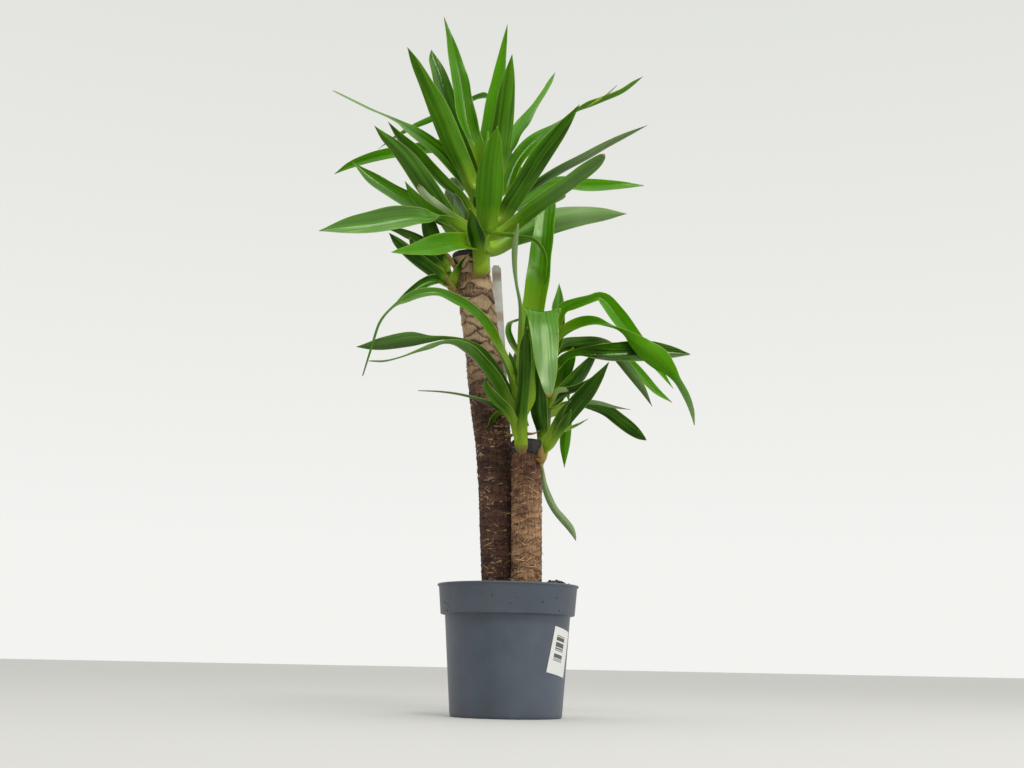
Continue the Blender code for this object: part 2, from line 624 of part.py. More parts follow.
def build():
    for obj in list(bpy.data.objects):
        bpy.data.objects.remove(obj)
    part = bpy.data.collections.new("Potted yucca")
    helpers = bpy.data.collections.new("Cutters")
    bpy.context.scene.collection.children.link(part)
    bpy.context.scene.collection.children.link(helpers)

    plastic = material("Pot plastic", (0.10, 0.12, 0.15), 0.45)
    earth = material("Soil", (0.06, 0.04, 0.025), 0.95)
    bark = material("Bark", (0.24, 0.15, 0.09), 0.85)
    wax = material("Wax", (0.03, 0.03, 0.035), 0.4)
    leaf = material("Leaf", (0.10, 0.26, 0.05), 0.35)
    clear = material("Label plastic", (0.62, 0.63, 0.6), 0.3)
    paper = material("Sticker paper", (0.85, 0.85, 0.84), 0.6)

    make_pot(part, helpers, plastic)
    make_soil(part, helpers, earth)
    uppers = ("upper_front", "upper_back", "upper_left")
    lowers = ("lower_front", "lower_right")
    make_cane("cane_tall", TALL, TALL_Y, TALL_TOP, 20, 13.0, helpers, part, bark, uppers, "tall")
    make_cane("cane_short", SHORT, SHORT_Y, SHORT_TOP, 18, 12.0, helpers, part, bark, lowers, "short")
    make_wax("wax_tall", TALL, TALL_Y, TALL_TOP, "tall", part, wax, uppers)
    make_wax("wax_short", SHORT, SHORT_Y, SHORT_TOP, "short", part, wax, lowers)
    for stem in STEMS:
        make_shoot(stem, part, helpers, leaf)
    new_object("label_strip", label_mesh("label_strip"), part, clear)
    make_sticker(part, paper)


build()
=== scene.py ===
# %% [markdown]
# # A potted yucca
# Two cut canes stand in a moulded nursery pot, and each carries heads of long sword leaves. The
# CAD model gives the sizes and places. This lesson dresses it: every leaf gets a curved, veined
# blade, the canes get bark, and the pot, the soil and the label get their real finishes.

# %% The frame
import math
import random

import bmesh
import bpy
import numpy as np
from mathutils import Matrix, Vector, noise


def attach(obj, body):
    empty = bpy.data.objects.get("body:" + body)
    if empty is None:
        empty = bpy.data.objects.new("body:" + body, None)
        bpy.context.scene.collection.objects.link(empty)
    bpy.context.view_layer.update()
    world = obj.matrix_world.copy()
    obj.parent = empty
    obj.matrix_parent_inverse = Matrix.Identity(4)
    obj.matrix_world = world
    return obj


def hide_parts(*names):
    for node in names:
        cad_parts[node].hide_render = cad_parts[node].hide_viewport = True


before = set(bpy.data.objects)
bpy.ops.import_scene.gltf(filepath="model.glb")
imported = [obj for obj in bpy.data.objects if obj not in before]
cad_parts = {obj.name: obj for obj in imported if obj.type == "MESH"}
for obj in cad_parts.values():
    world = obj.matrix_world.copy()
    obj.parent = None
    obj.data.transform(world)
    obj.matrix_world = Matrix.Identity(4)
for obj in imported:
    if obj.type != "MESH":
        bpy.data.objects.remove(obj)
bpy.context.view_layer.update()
MM = 0.001

# %% [markdown]
# ## Helpers for node trees
# The real object's colours are written as sRGB hex, as a colour picker shows them, and Blender
# mixes light in linear values, so one function converts them. Another sets a node's sockets. It
# takes a plain value, a hex colour, another node's output, or a whole node, which stands for its
# first output in use. The others add one node each, which keeps every material short to read.

# %% Colours and nodes
def linear(hex_code):
    """The linear RGBA of an sRGB hex colour."""
    parts = [int(hex_code[i:i + 2], 16) / 255 for i in (1, 3, 5)]
    return (*[c / 12.92 if c <= 0.04045 else ((c + 0.055) / 1.055) ** 2.4 for c in parts], 1.0)


def grey(value):
    return (value, value, value, 1.0)


def feed(node, inputs):
    """Sets a node's sockets. A node among the values is linked by its first output in use."""
    for place, value in inputs.items():
        socket = node.inputs[place]
        if isinstance(value, bpy.types.Node):
            value = next(output for output in value.outputs if output.enabled)
        if isinstance(value, bpy.types.NodeSocket):
            node.id_data.links.new(value, socket)
        else:
            socket.default_value = linear(value) if isinstance(value, str) else value


def add(tree, kind, inputs=None, **options):
    """Adds a node of any kind, with its options and sockets."""
    made = tree.nodes.new(kind)
    for name, value in options.items():
        setattr(made, name, value)
    feed(made, inputs or {})
    return made


def calc(tree, operation, *values, **options):
    """Arithmetic on single numbers."""
    return add(tree, "ShaderNodeMath", dict(enumerate(values)), operation=operation, **options)


def blend(tree, share, first, second, **options):
    """A share of the second colour mixed into the first."""
    return add(tree, "ShaderNodeMix", {0: share, 6: first, 7: second}, data_type="RGBA", **options)


def span(tree, value, given, wanted=(0, 1), **options):
    """A value moved from the given range to the wanted one."""
    names = ("Value", "From Min", "From Max", "To Min", "To Max")
    return add(tree, "ShaderNodeMapRange", dict(zip(names, (value, *given, *wanted))), **options)


def ramp(tree, value, *stops):
    """A colour for each value, from stops of (place, colour)."""
    made = add(tree, "ShaderNodeValToRGB", {0: value})
    points = made.color_ramp.elements
    for k, (place, colour) in enumerate(stops):
        point = points[k] if k < 2 else points.new(place)
        point.position, point.color = place, linear(colour) if isinstance(colour, str) else colour
    return made


def noisy(tree, place, scale, detail, roughness=0.5):
    """A noise pattern. Its scale is in cycles per unit of the place."""
    return add(tree, "ShaderNodeTexNoise",
               {"Vector": place, "Scale": scale, "Detail": detail, "Roughness": roughness})


def bump(tree, height, strength, distance):
    """Fine relief. The distance is its full height in metres."""
    return add(tree, "ShaderNodeBump", {"Strength": strength, "Distance": distance, "Height": height})


def own_place(tree):
    """The place on the object, in its own metres."""
    return add(tree, "ShaderNodeTexCoord").outputs["Object"]


def scaled(tree, place, factors):
    """A place stretched along each axis."""
    return add(tree, "ShaderNodeMapping", {"Vector": place, "Scale": factors})


def read_marks(tree, marks):
    """The marks that a mesh carries for each point, by name."""
    return {mark: add(tree, "ShaderNodeAttribute", attribute_name=mark).outputs["Fac"] for mark in marks}


def new_finish(name):
    """A material with its node tree and its shader."""
    mat = bpy.data.materials.new(name)
    mat.use_nodes = True
    return mat, mat.node_tree, mat.node_tree.nodes["Principled BSDF"]


# %% [markdown]
# ## Camera, floor and light
# The photograph was taken from low down, near the height of the pot, looking slightly up, in soft
# daylight from above. So the world is a pale dome. It is brightest overhead, which gives the
# leaves their white highlights, and dimmer in front, which keeps their greens deep. One soft lamp
# stands for the window above, and a weak one fills the right side of the pot.

# %% Camera
eye = bpy.data.cameras.new("eye")
eye.lens, eye.sensor_width = 45.07, 36.0
camera = bpy.data.objects.new("camera", eye)
bpy.context.collection.objects.link(camera)
camera.matrix_world = (
    Matrix.Translation((0, -1.58, 0.06))
    @ Matrix.Rotation(math.radians(90 + 12.4), 4, "X")
    @ Matrix.Rotation(math.radians(1.1), 4, "Z")
)
bpy.context.scene.camera = camera
bpy.context.scene.view_settings.view_transform = "Standard"
print("camera at", [round(x, 2) for x in camera.location])

# %% Floor, sky and lamps
FLOOR_SIZE = 60.0        # metres
floor_mesh = bpy.data.meshes.new("floor")
half = FLOOR_SIZE / 2
corners = [(-half, -half, 0), (half, -half, 0), (half, half, 0), (-half, half, 0)]
floor_mesh.from_pydata(corners, [], [(0, 1, 2, 3)])
floor = bpy.data.objects.new("floor", floor_mesh)
bpy.context.collection.objects.link(floor)
# Matte painted board: no gloss, and an even pale tone.
board, tree, shader = new_finish("matte painted board")
feed(shader, {"Base Color": "#b3b2ae", "Roughness": 0.9})
floor_mesh.materials.append(board)

sky = bpy.data.worlds.new("soft daylight")
bpy.context.scene.world = sky
sky.use_nodes = True
tree = sky.node_tree
where = add(tree, "ShaderNodeSeparateXYZ", {0: add(tree, "ShaderNodeTexCoord").outputs["Generated"]})
SKY_STRENGTH = 1.9
PLANT_MIDDLE = Vector((0, 0, 0.45))
overhead = span(tree, where.outputs["Z"], (0.5, 0.95), interpolation_type="SMOOTHSTEP")
in_front = span(tree, where.outputs["Y"], (0.1, -0.7), interpolation_type="SMOOTHSTEP")
upward = span(tree, where.outputs["Z"], (0.08, 0.5))
behind = blend(tree, upward, "#b7b7b5", "#a9aaa6")
to_right = span(tree, where.outputs["X"], (-0.7, 0.7))
front = blend(tree, to_right, "#3c3d3d", "#929393")
sides = blend(tree, in_front, behind, front)
dome = blend(tree, overhead, sides, "#ffffff")
feed(tree.nodes["Background"], {"Color": dome, "Strength": SKY_STRENGTH})

for name, spot, size, power in [
    ("window above", (0.4, -1.15, 2.05), 0.5, 19.0),
    ("fill right", (1.7, -1.0, 0.9), 1.0, 8.0),
]:
    lamp = bpy.data.lights.new(name, "AREA")
    lamp.size, lamp.energy = size, power
    holder = bpy.data.objects.new(name, lamp)
    bpy.context.collection.objects.link(holder)
    aim = PLANT_MIDDLE - Vector(spot)
    holder.matrix_world = Matrix.Translation(spot) @ aim.to_track_quat("-Z", "Y").to_matrix().to_4x4()

# %% [markdown]
# ## Shared shape helpers
# The leaves and stems follow smooth curves through a few points in millimetres. The points begin
# as the CAD model's own and are refined against the photograph, so each blade lies along its
# solid. Smooth tables give the width and the fold between their rows.

# %% Smooth curves and tables
def between(table, t):
    """The value at t in a table of (place, value), on a straight line between its rows."""
    for (a, low), (b, high) in zip(table, table[1:]):
        if t <= b:
            return low + (high - low) * (t - a) / (b - a)
    return table[-1][1]


def eased(table, t):
    """The value at t in a table of (place, value), on a smooth curve through its rows."""
    k = 0
    while k < len(table) - 2 and t > table[k + 1][0]:
        k += 1
    (x0, y0), (x1, y1) = table[max(k - 1, 0)], table[k]
    (x2, y2), (x3, y3) = table[k + 1], table[min(k + 2, len(table) - 1)]
    s = min(max((t - x1) / (x2 - x1), 0.0), 1.0)
    start = (y2 - y0) / (x2 - x0) * (x2 - x1)
    end = (y3 - y1) / (x3 - x1) * (x2 - x1)
    return ((2 * s**3 - 3 * s**2 + 1) * y1 + (s**3 - 2 * s**2 + s) * start
            + (3 * s**2 - 2 * s**3) * y2 + (s**3 - s**2) * end)


PARTS = 24      # straight parts of a smooth curve between two given points


def smooth_path(points, step):
    """Points about a step apart on a smooth curve, each given point's share of it, and its length."""
    points = [Vector(p) for p in points]
    ends = [2 * points[0] - points[1]] + points + [2 * points[-1] - points[-2]]
    dense = []
    for p0, p1, p2, p3 in zip(ends, ends[1:], ends[2:], ends[3:]):
        t1 = math.sqrt((p1 - p0).length)
        t2 = t1 + math.sqrt((p2 - p1).length)
        t3 = t2 + math.sqrt((p3 - p2).length)
        for part in range(PARTS):
            t = t1 + (t2 - t1) * part / PARTS
            a1 = p0.lerp(p1, t / t1)
            a2 = p1.lerp(p2, (t - t1) / (t2 - t1))
            a3 = p2.lerp(p3, (t - t2) / (t3 - t2))
            b1 = a1.lerp(a2, t / t2)
            b2 = a2.lerp(a3, (t - t1) / (t3 - t1))
            dense.append(b1.lerp(b2, (t - t1) / (t2 - t1)))
    dense.append(points[-1])
    lengths = [0.0]
    for p, q in zip(dense, dense[1:]):
        lengths.append(lengths[-1] + (q - p).length)
    places = [length / lengths[-1] for length in lengths[::PARTS]]
    count = max(10, round(lengths[-1] / step))
    path, i = [], 0
    for k in range(count):
        want = lengths[-1] * k / (count - 1)
        while i < len(dense) - 2 and lengths[i + 1] < want:
            i += 1
        path.append(dense[i].lerp(dense[i + 1], (want - lengths[i]) / (lengths[i + 1] - lengths[i])))
    return path, places, lengths[-1]


def ring_faces(rings, sides, reverse=False):
    """The four-sided faces between rings of points."""
    faces = []
    for i in range(rings - 1):
        for j in range(sides):
            a, b = i * sides + j, i * sides + (j + 1) % sides
            faces.append((a, a + sides, b + sides, b) if reverse else (a, b, b + sides, a + sides))
    return faces


def closed_rings(rings):
    """The points and faces of a skin through a list of rings, closed at both ends."""
    points, sides = [p for ring in rings for p in ring], len(rings[0])
    ends = [tuple(range(sides)), tuple(reversed(range(len(points) - sides, len(points))))]
    return points, ends + ring_faces(len(rings), sides, reverse=True)


def face_outwards(mesh, weld=None):
    """Turns all faces outwards, and first joins points that lie closer than the weld distance."""
    work = bmesh.new()
    work.from_mesh(mesh)
    if weld:
        bmesh.ops.remove_doubles(work, verts=work.verts, dist=weld)
    bmesh.ops.recalc_face_normals(work, faces=work.faces)
    work.to_mesh(mesh)
    work.free()


def piece_from(name, points, faces, finishes, finish_of_face=None, marks=None):
    """A smooth-shaded piece from points in millimetres. marks are named values, one for each point."""
    mesh = bpy.data.meshes.new(name)
    mesh.from_pydata(np.asarray(points, float) * MM, [], faces)
    for mat in finishes:
        mesh.materials.append(mat)
    if finish_of_face is not None:
        mesh.polygons.foreach_set("material_index", np.asarray(finish_of_face, np.int32))
    for mark, values in (marks or {}).items():
        kept = mesh.attributes.new(mark, "FLOAT", "POINT")
        kept.data.foreach_set("value", np.asarray(values, np.float32))
    mesh.shade_smooth()
    mesh.update()
    obj = bpy.data.objects.new(name, mesh)
    bpy.context.collection.objects.link(obj)
    print(name, "has", sum(len(f.vertices) - 2 for f in mesh.polygons), "triangles")
    return obj


def ride_as(piece, slot, *nodes):
    """The piece rides on the only body and stands for these CAD nodes, which it hides. The slot is not used.
    """
    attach(piece, "root")
    if nodes:
        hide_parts(*nodes)
    return piece


# %% [markdown]
# ## The pot
# A nursery pot is injection-moulded polypropylene: a thin tapered wall, a wider rim band with a
# small flange, and a ring of drain holes in the base. A lathe profile is the natural way to make
# it. Geometry Nodes sweep the profile round a circle, weld the points on the axis, and cut the
# holes, so the profile and a few sizes are all that has to be kept.

# %% The pot's profile
POT_HEIGHT, LIP_RADIUS, WALL, BASE_RADIUS = 156.0, 86.0, 1.6, 67.0
SHOULDER_Z, SHOULDER_RADIUS, BAND_LOW, BAND_HIGH = 119.0, 76.0, 81.3, 84.2
FLOOR_STEP, DRAIN_RADIUS, DRAIN_HOLE, DRAIN_COUNT = 3.0, 48.0, 9.0, 8


def wall_inside(z):
    """Inner radius of the pot's wall at height z, below the rim band."""
    return BASE_RADIUS - WALL + (SHOULDER_RADIUS - BASE_RADIUS) * z / SHOULDER_Z


pot_profile = [
    (0, WALL), (33, WALL), (36, WALL + FLOOR_STEP), (60, WALL + FLOOR_STEP), (62, WALL),
    (wall_inside(WALL), WALL), (wall_inside(SHOULDER_Z), SHOULDER_Z),
    (BAND_LOW - WALL, SHOULDER_Z + 3.5), (BAND_HIGH - WALL, POT_HEIGHT - 1.0),
    (LIP_RADIUS - 3.0, POT_HEIGHT - 0.3), (LIP_RADIUS - 2.4, POT_HEIGHT),
    (LIP_RADIUS - 0.7, POT_HEIGHT), (LIP_RADIUS - 0.2, POT_HEIGHT - 0.2), (LIP_RADIUS, POT_HEIGHT - 0.7),
    (LIP_RADIUS, POT_HEIGHT - 1.7), (LIP_RADIUS - 0.3, POT_HEIGHT - 2.2),
    (BAND_HIGH + 0.5, POT_HEIGHT - 2.3), (BAND_HIGH, POT_HEIGHT - 2.9),
    (BAND_LOW + 0.1, SHOULDER_Z + 1.8), (BAND_LOW - 0.1, SHOULDER_Z + 1.2),
    (BAND_LOW - 0.6, SHOULDER_Z + 1.0),
    (SHOULDER_RADIUS + 0.4, SHOULDER_Z), (SHOULDER_RADIUS - 0.1, SHOULDER_Z - 0.5),
    (BASE_RADIUS + 0.5, 5.0), (BASE_RADIUS + 0.1, 2.2), (BASE_RADIUS - 0.6, 0.6), (BASE_RADIUS - 1.5, 0),
    (63, 0), (61, FLOOR_STEP), (35, FLOOR_STEP), (32, 0), (0, 0),
]
print("pot profile has", len(pot_profile), "points")

# %% Lathe and drain holes in Geometry Nodes
def named_inputs(tree, sizes):
    """Gives a Geometry Nodes tree its geometry sockets and one named number for each size."""
    face = tree.interface
    face.new_socket("Geometry", in_out="OUTPUT", socket_type="NodeSocketGeometry")
    face.new_socket("Geometry", in_out="INPUT", socket_type="NodeSocketGeometry")
    for name, value in sizes.items():
        kind = "NodeSocketInt" if isinstance(value, int) else "NodeSocketFloat"
        face.new_socket(name, in_out="INPUT", socket_type=kind).default_value = value
    return tree.nodes.new("NodeGroupInput"), tree.nodes.new("NodeGroupOutput")


def run_nodes(name, mesh, tree, sizes):
    """Runs a Geometry Nodes tree on a mesh and returns the result as a plain mesh object."""
    obj = bpy.data.objects.new(name, mesh)
    bpy.context.collection.objects.link(obj)
    step = obj.modifiers.new("Nodes", "NODES")
    step.node_group = tree
    for item in tree.interface.items_tree:
        if item.in_out == "INPUT" and item.name in sizes:
            step[item.identifier] = sizes[item.name]
    made = bpy.data.meshes.new_from_object(obj.evaluated_get(bpy.context.evaluated_depsgraph_get()))
    obj.modifiers.remove(step)
    obj.data = made
    made.name = name
    print(name, "has", sum(len(f.vertices) - 2 for f in made.polygons), "triangles")
    return obj


PATH_RADIUS = 0.05       # metres, of the circle that the profile is swept along
DRILL_DEPTH, DRILL_SIDES = 0.02, 24
lathe = bpy.data.node_groups.new("lathe with drain holes", "GeometryNodeTree")
sizes = {"Sides": 160, "Hole ring radius": DRAIN_RADIUS * MM, "Hole radius": DRAIN_HOLE / 2 * MM,
         "Holes": DRAIN_COUNT}
given, result = named_inputs(lathe, sizes)
spot = add(lathe, "GeometryNodeInputPosition")
xyz = add(lathe, "ShaderNodeSeparateXYZ", {0: spot})
inward = calc(lathe, "SUBTRACT", xyz.outputs["X"], PATH_RADIUS)
down = calc(lathe, "MULTIPLY", xyz.outputs["Z"], -1.0)
section_spot = add(lathe, "ShaderNodeCombineXYZ", {0: inward, 1: down, 2: 0.0})
laid = add(lathe, "GeometryNodeSetPosition", {"Geometry": given.outputs["Geometry"],
                                              "Position": section_spot})
section = add(lathe, "GeometryNodeMeshToCurve", {0: laid})
circle = add(lathe, "GeometryNodeCurvePrimitiveCircle",
             {"Resolution": given.outputs["Sides"], "Radius": PATH_RADIUS}, mode="RADIUS")
swept = add(lathe, "GeometryNodeCurveToMesh", {"Curve": circle, "Profile Curve": section})
welded = add(lathe, "GeometryNodeMergeByDistance", {"Geometry": swept, "Distance": 0.00001})
ring_points = add(lathe, "GeometryNodeMeshCircle",
                  {"Vertices": given.outputs["Holes"], "Radius": given.outputs["Hole ring radius"]})
half_step = add(lathe, "GeometryNodeTransform",
                {"Geometry": ring_points, "Rotation": (0, 0, math.pi / DRAIN_COUNT)})
drill = add(lathe, "GeometryNodeMeshCylinder",
            {"Vertices": DRILL_SIDES, "Radius": given.outputs["Hole radius"], "Depth": DRILL_DEPTH})
drills = add(lathe, "GeometryNodeInstanceOnPoints",
             {"Points": half_step, "Instance": drill.outputs["Mesh"]})
real_drills = add(lathe, "GeometryNodeRealizeInstances", {0: drills})
cut = add(lathe, "GeometryNodeMeshBoolean", {"Mesh 1": welded, "Mesh 2": real_drills},
          operation="DIFFERENCE")

# %% [markdown]
# The plastic is a blue-grey masterbatch with a fine satin mould texture. It is not evenly shiny:
# handling and dry soil leave it a little duller in patches, and specks of soil stick to it. Noise
# on the object's own coordinates varies the colour and the roughness, and a very fine bump is the
# mould's spark-eroded grain, about 0.7 mm, drawn coarse enough to show.

# %% Moulded polypropylene
POLYPROPYLENE_IOR = 1.49
moulded, tree, shader = new_finish("injection-moulded polypropylene")
place = own_place(tree)
patches = noisy(tree, place, 14.0, 5.0, 0.55)
flow = scaled(tree, place, (60.0, 60.0, 6.0))
streaks = noisy(tree, flow, 1.0, 3.0)
body_tone = ramp(tree, patches, (0.3, "#474f59"), (0.7, "#565f6b"))
streaked = blend(tree, 0.18, body_tone, streaks.outputs["Color"], blend_type="SOFT_LIGHT")
speck_noise = add(tree, "ShaderNodeTexVoronoi", {"Vector": place, "Scale": 55.0}, feature="F1")
specks = ramp(tree, speck_noise.outputs["Distance"], (0.035, grey(1)), (0.06, grey(0)))
rare = ramp(tree, speck_noise.outputs["Color"], (0.84, grey(0)), (0.86, grey(1)))
speck_here = calc(tree, "MULTIPLY", specks, rare)
dusty = blend(tree, speck_here, streaked, "#2c241f")
gloss = span(tree, patches, (0, 1), (0.38, 0.52))
grain = noisy(tree, place, 1500.0, 2.0)
relief = bump(tree, grain, 0.25, 0.0001)
feed(shader, {"Base Color": dusty, "Roughness": gloss, "Normal": relief, "IOR": POLYPROPYLENE_IOR})

coated = add(lathe, "GeometryNodeSetMaterial", {"Geometry": cut, "Material": moulded})
out_mesh = add(lathe, "GeometryNodeRealizeInstances", {0: coated})
feed(result, {0: out_mesh})

profile_mesh = bpy.data.meshes.new("pot profile")
profile_mesh.from_pydata([(r * MM, 0, z * MM) for r, z in pot_profile],
                         [(i, i + 1) for i in range(len(pot_profile) - 1)], [])
pot = run_nodes("pot_shell", profile_mesh, lathe, sizes)
face_outwards(pot.data, weld=1e-6)
pot.data.shade_smooth()
SHARPEST_BEND = math.radians(35)     # a steeper step between two faces is a crisp edge
pot.data.set_sharp_from_angle(angle=SHARPEST_BEND)
ride_as(pot, "pot_plastic", "pot")

# %% [markdown]
# ## The leaves' finish
# A yucca leaf is a stiff blade with a waxy cuticle. Its upper face is green and glossy with fine
# parallel veins, its underside is greyer and duller, and its margin is a thin pale line. Towards
# its root it turns lime, because little light reaches it there. It is thin enough for daylight to
# pass through. So each blade point carries its distance along and across
# the blade in millimetres, the patterns follow those, and a translucent share lets light through.

# %% Living leaf
MARKS = ("along_mm", "across_mm", "margin_mm", "tip_mm", "dry_mm", "tone_and_shade", "bloom")
CUTICLE_IOR = 1.42


def leaf_finish(name, deep, fresh, roughness, bloom_and_sheen_share):
    """One face of a living leaf, from its deepest to its freshest green."""
    mat, tree, shader = new_finish(name)
    read = read_marks(tree, MARKS)
    spot = add(tree, "ShaderNodeCombineXYZ", {0: read["across_mm"], 1: read["along_mm"], 2: read["tone_and_shade"]})

    def pattern(per_mm_across, per_mm_along, per_tone, detail):
        """Noise stretched along the blade, and different on each leaf."""
        factors = (per_mm_across, per_mm_along, per_tone)
        stretched = add(tree, "ShaderNodeVectorMath", {0: spot, 1: factors}, operation="MULTIPLY")
        return noisy(tree, stretched, 1.0, detail)

    # Veins lie about 1 mm apart and run the whole length, so the noise is stretched lengthwise.
    veins = pattern(1.1, 0.006, 40.0, 3.0)
    blotches = pattern(0.04, 0.014, 25.0, 2.0)
    level = calc(tree, "MULTIPLY_ADD", blotches, 0.8, -0.4)
    # The tone is partly the leaf's own green and partly painted shade and painted light-through.
    level = calc(tree, "ADD", level, read["tone_and_shade"])
    # Ribs are bundles of veins, 3 to 4 mm apart. They show from further away.
    ribs = pattern(0.34, 0.004, 55.0, 1.0)
    lines = calc(tree, "MULTIPLY_ADD", ribs, 1.6, veins)
    vein_level = calc(tree, "MULTIPLY_ADD", lines, 0.8, -1.04)
    level = calc(tree, "ADD", level, vein_level, use_clamp=True)
    green = blend(tree, level, deep, fresh)
    # The grey-green is partly a wax bloom on some undersides and partly a painted grey sheen.
    bloom_and_sheen_here = calc(tree, "MULTIPLY", read["bloom"], bloom_and_sheen_share)
    green = blend(tree, bloom_and_sheen_here, green, "#b4c99c")
    # The foot is lime for its first few centimetres.
    decimetres = calc(tree, "MULTIPLY", read["along_mm"], 1 / 100)
    youth = ramp(tree, decimetres, (0.1, grey(1)), (0.65, grey(0)))
    rooted = blend(tree, youth, green, "#a6ca34")
    margin = span(tree, read["margin_mm"], (0.15, 0.75), (0.6, 0.0))
    edged = blend(tree, margin, rooted, "#b3c65a")
    # The last millimetres of a tip are dry and tan.
    dry_place = calc(tree, "DIVIDE", read["tip_mm"], read["dry_mm"])
    dry = span(tree, dry_place, (0.5, 1.0), (1.0, 0.0))
    skin = blend(tree, dry, edged, "#a58650")
    rough = span(tree, veins, (0, 1), (roughness - 0.06, roughness + 0.08))
    relief = bump(tree, lines, 0.6, 0.0002)
    feed(shader, {"Base Color": skin, "Roughness": rough, "Normal": relief, "IOR": CUTICLE_IOR,
                  "Specular IOR Level": 0.36, "Specular Tint": "#e6f6c4"})
    # Light that has passed through a leaf is yellower and brighter than the leaf's own colour.
    through_tint = blend(tree, 0.6, skin, "#84cf05")
    through = add(tree, "ShaderNodeBsdfTranslucent", {"Color": through_tint, "Normal": relief})
    share = calc(tree, "MULTIPLY_ADD", level, 0.34, 0.08)
    both = add(tree, "ShaderNodeMixShader", {0: share, 1: shader, 2: through})
    feed(tree.nodes["Material Output"], {"Surface": both})
    return mat


upper_face = leaf_finish("living leaf, upper face with waxy cuticle", "#143600", "#5a9e04", 0.19, 0.25)
under_face = leaf_finish("living leaf, duller underside", "#204404", "#64a412", 0.34, 0.9)
LEAF_FINISHES = [upper_face, under_face]

# %% [markdown]
# ## The shoots' sizes
# Each shoot grows out of the bark on a short stem. A leaf is given by the height of its root on the
# stem, its tone, how much wax bloom its outer part wears, and a row for each place that its midrib
# passes. The tone is 0 for a dark leaf and 1 for a bright one: it is partly the leaf's own green,
# which darkens with age, and partly painted shade and painted light through the blade. The bloom is
# partly a grey-green wax and partly a painted grey sheen. A row holds x, y and z, the blade's width
# there and its turn about the midrib in degrees. Every bend, pinch and twist of the real leaf has its
# row. A few leaves add a look of their own: a longer dry tip, a lime foot that reaches further, a
# wavier margin, or a deeper or flatter fold. Husks and slivers are short, dry leaves.

# %% Stems
STEMS = {   # x, y, z and radius up the stem
    "upper_front": [(-50, -2, 540, 8), (-43, -10, 554, 11), (-42, -14, 582, 10), (-40, -16, 620, 9),
                    (-38, -12, 670, 7), (-38, -8, 715, 5), (-38, -5, 745, 2)],
    "upper_back": [(-62, 24, 540, 8), (-60, 33, 556, 9), (-57, 40, 590, 8), (-52, 43, 650, 7),
                   (-46, 41, 710, 5), (-44, 38, 750, 2)],
    "upper_left": [(-72, 9, 526, 7), (-84, 6, 540, 7), (-95, 2, 554, 5.5), (-103, 0, 575, 4),
                   (-106, 0, 592, 2)],
    "lower_front": [(18, -24, 308, 6), (13, -32, 323, 8.5), (12, -36, 348, 8), (14, -39, 385, 6),
                    (16, -40, 428, 3)],
    "lower_right": [(30, -17, 297, 7), (37, -18, 312, 8), (41, -15, 347, 7.5), (44, -8, 392, 6.5),
                    (50, 0, 430, 5), (53, 2, 462, 2.5)],
}
# A stem's tone, like a leaf's, is partly its own green and partly painted shade and light.
STEM_LOOK = {   # tone, and how many millimetres of the lime foot are hidden in the bark
    "upper_front": (0.6, 8), "upper_back": (0.4, 40), "upper_left": (0.1, 60), "lower_front": (0.9, 0),
    "lower_right": (0.3, 14),
}

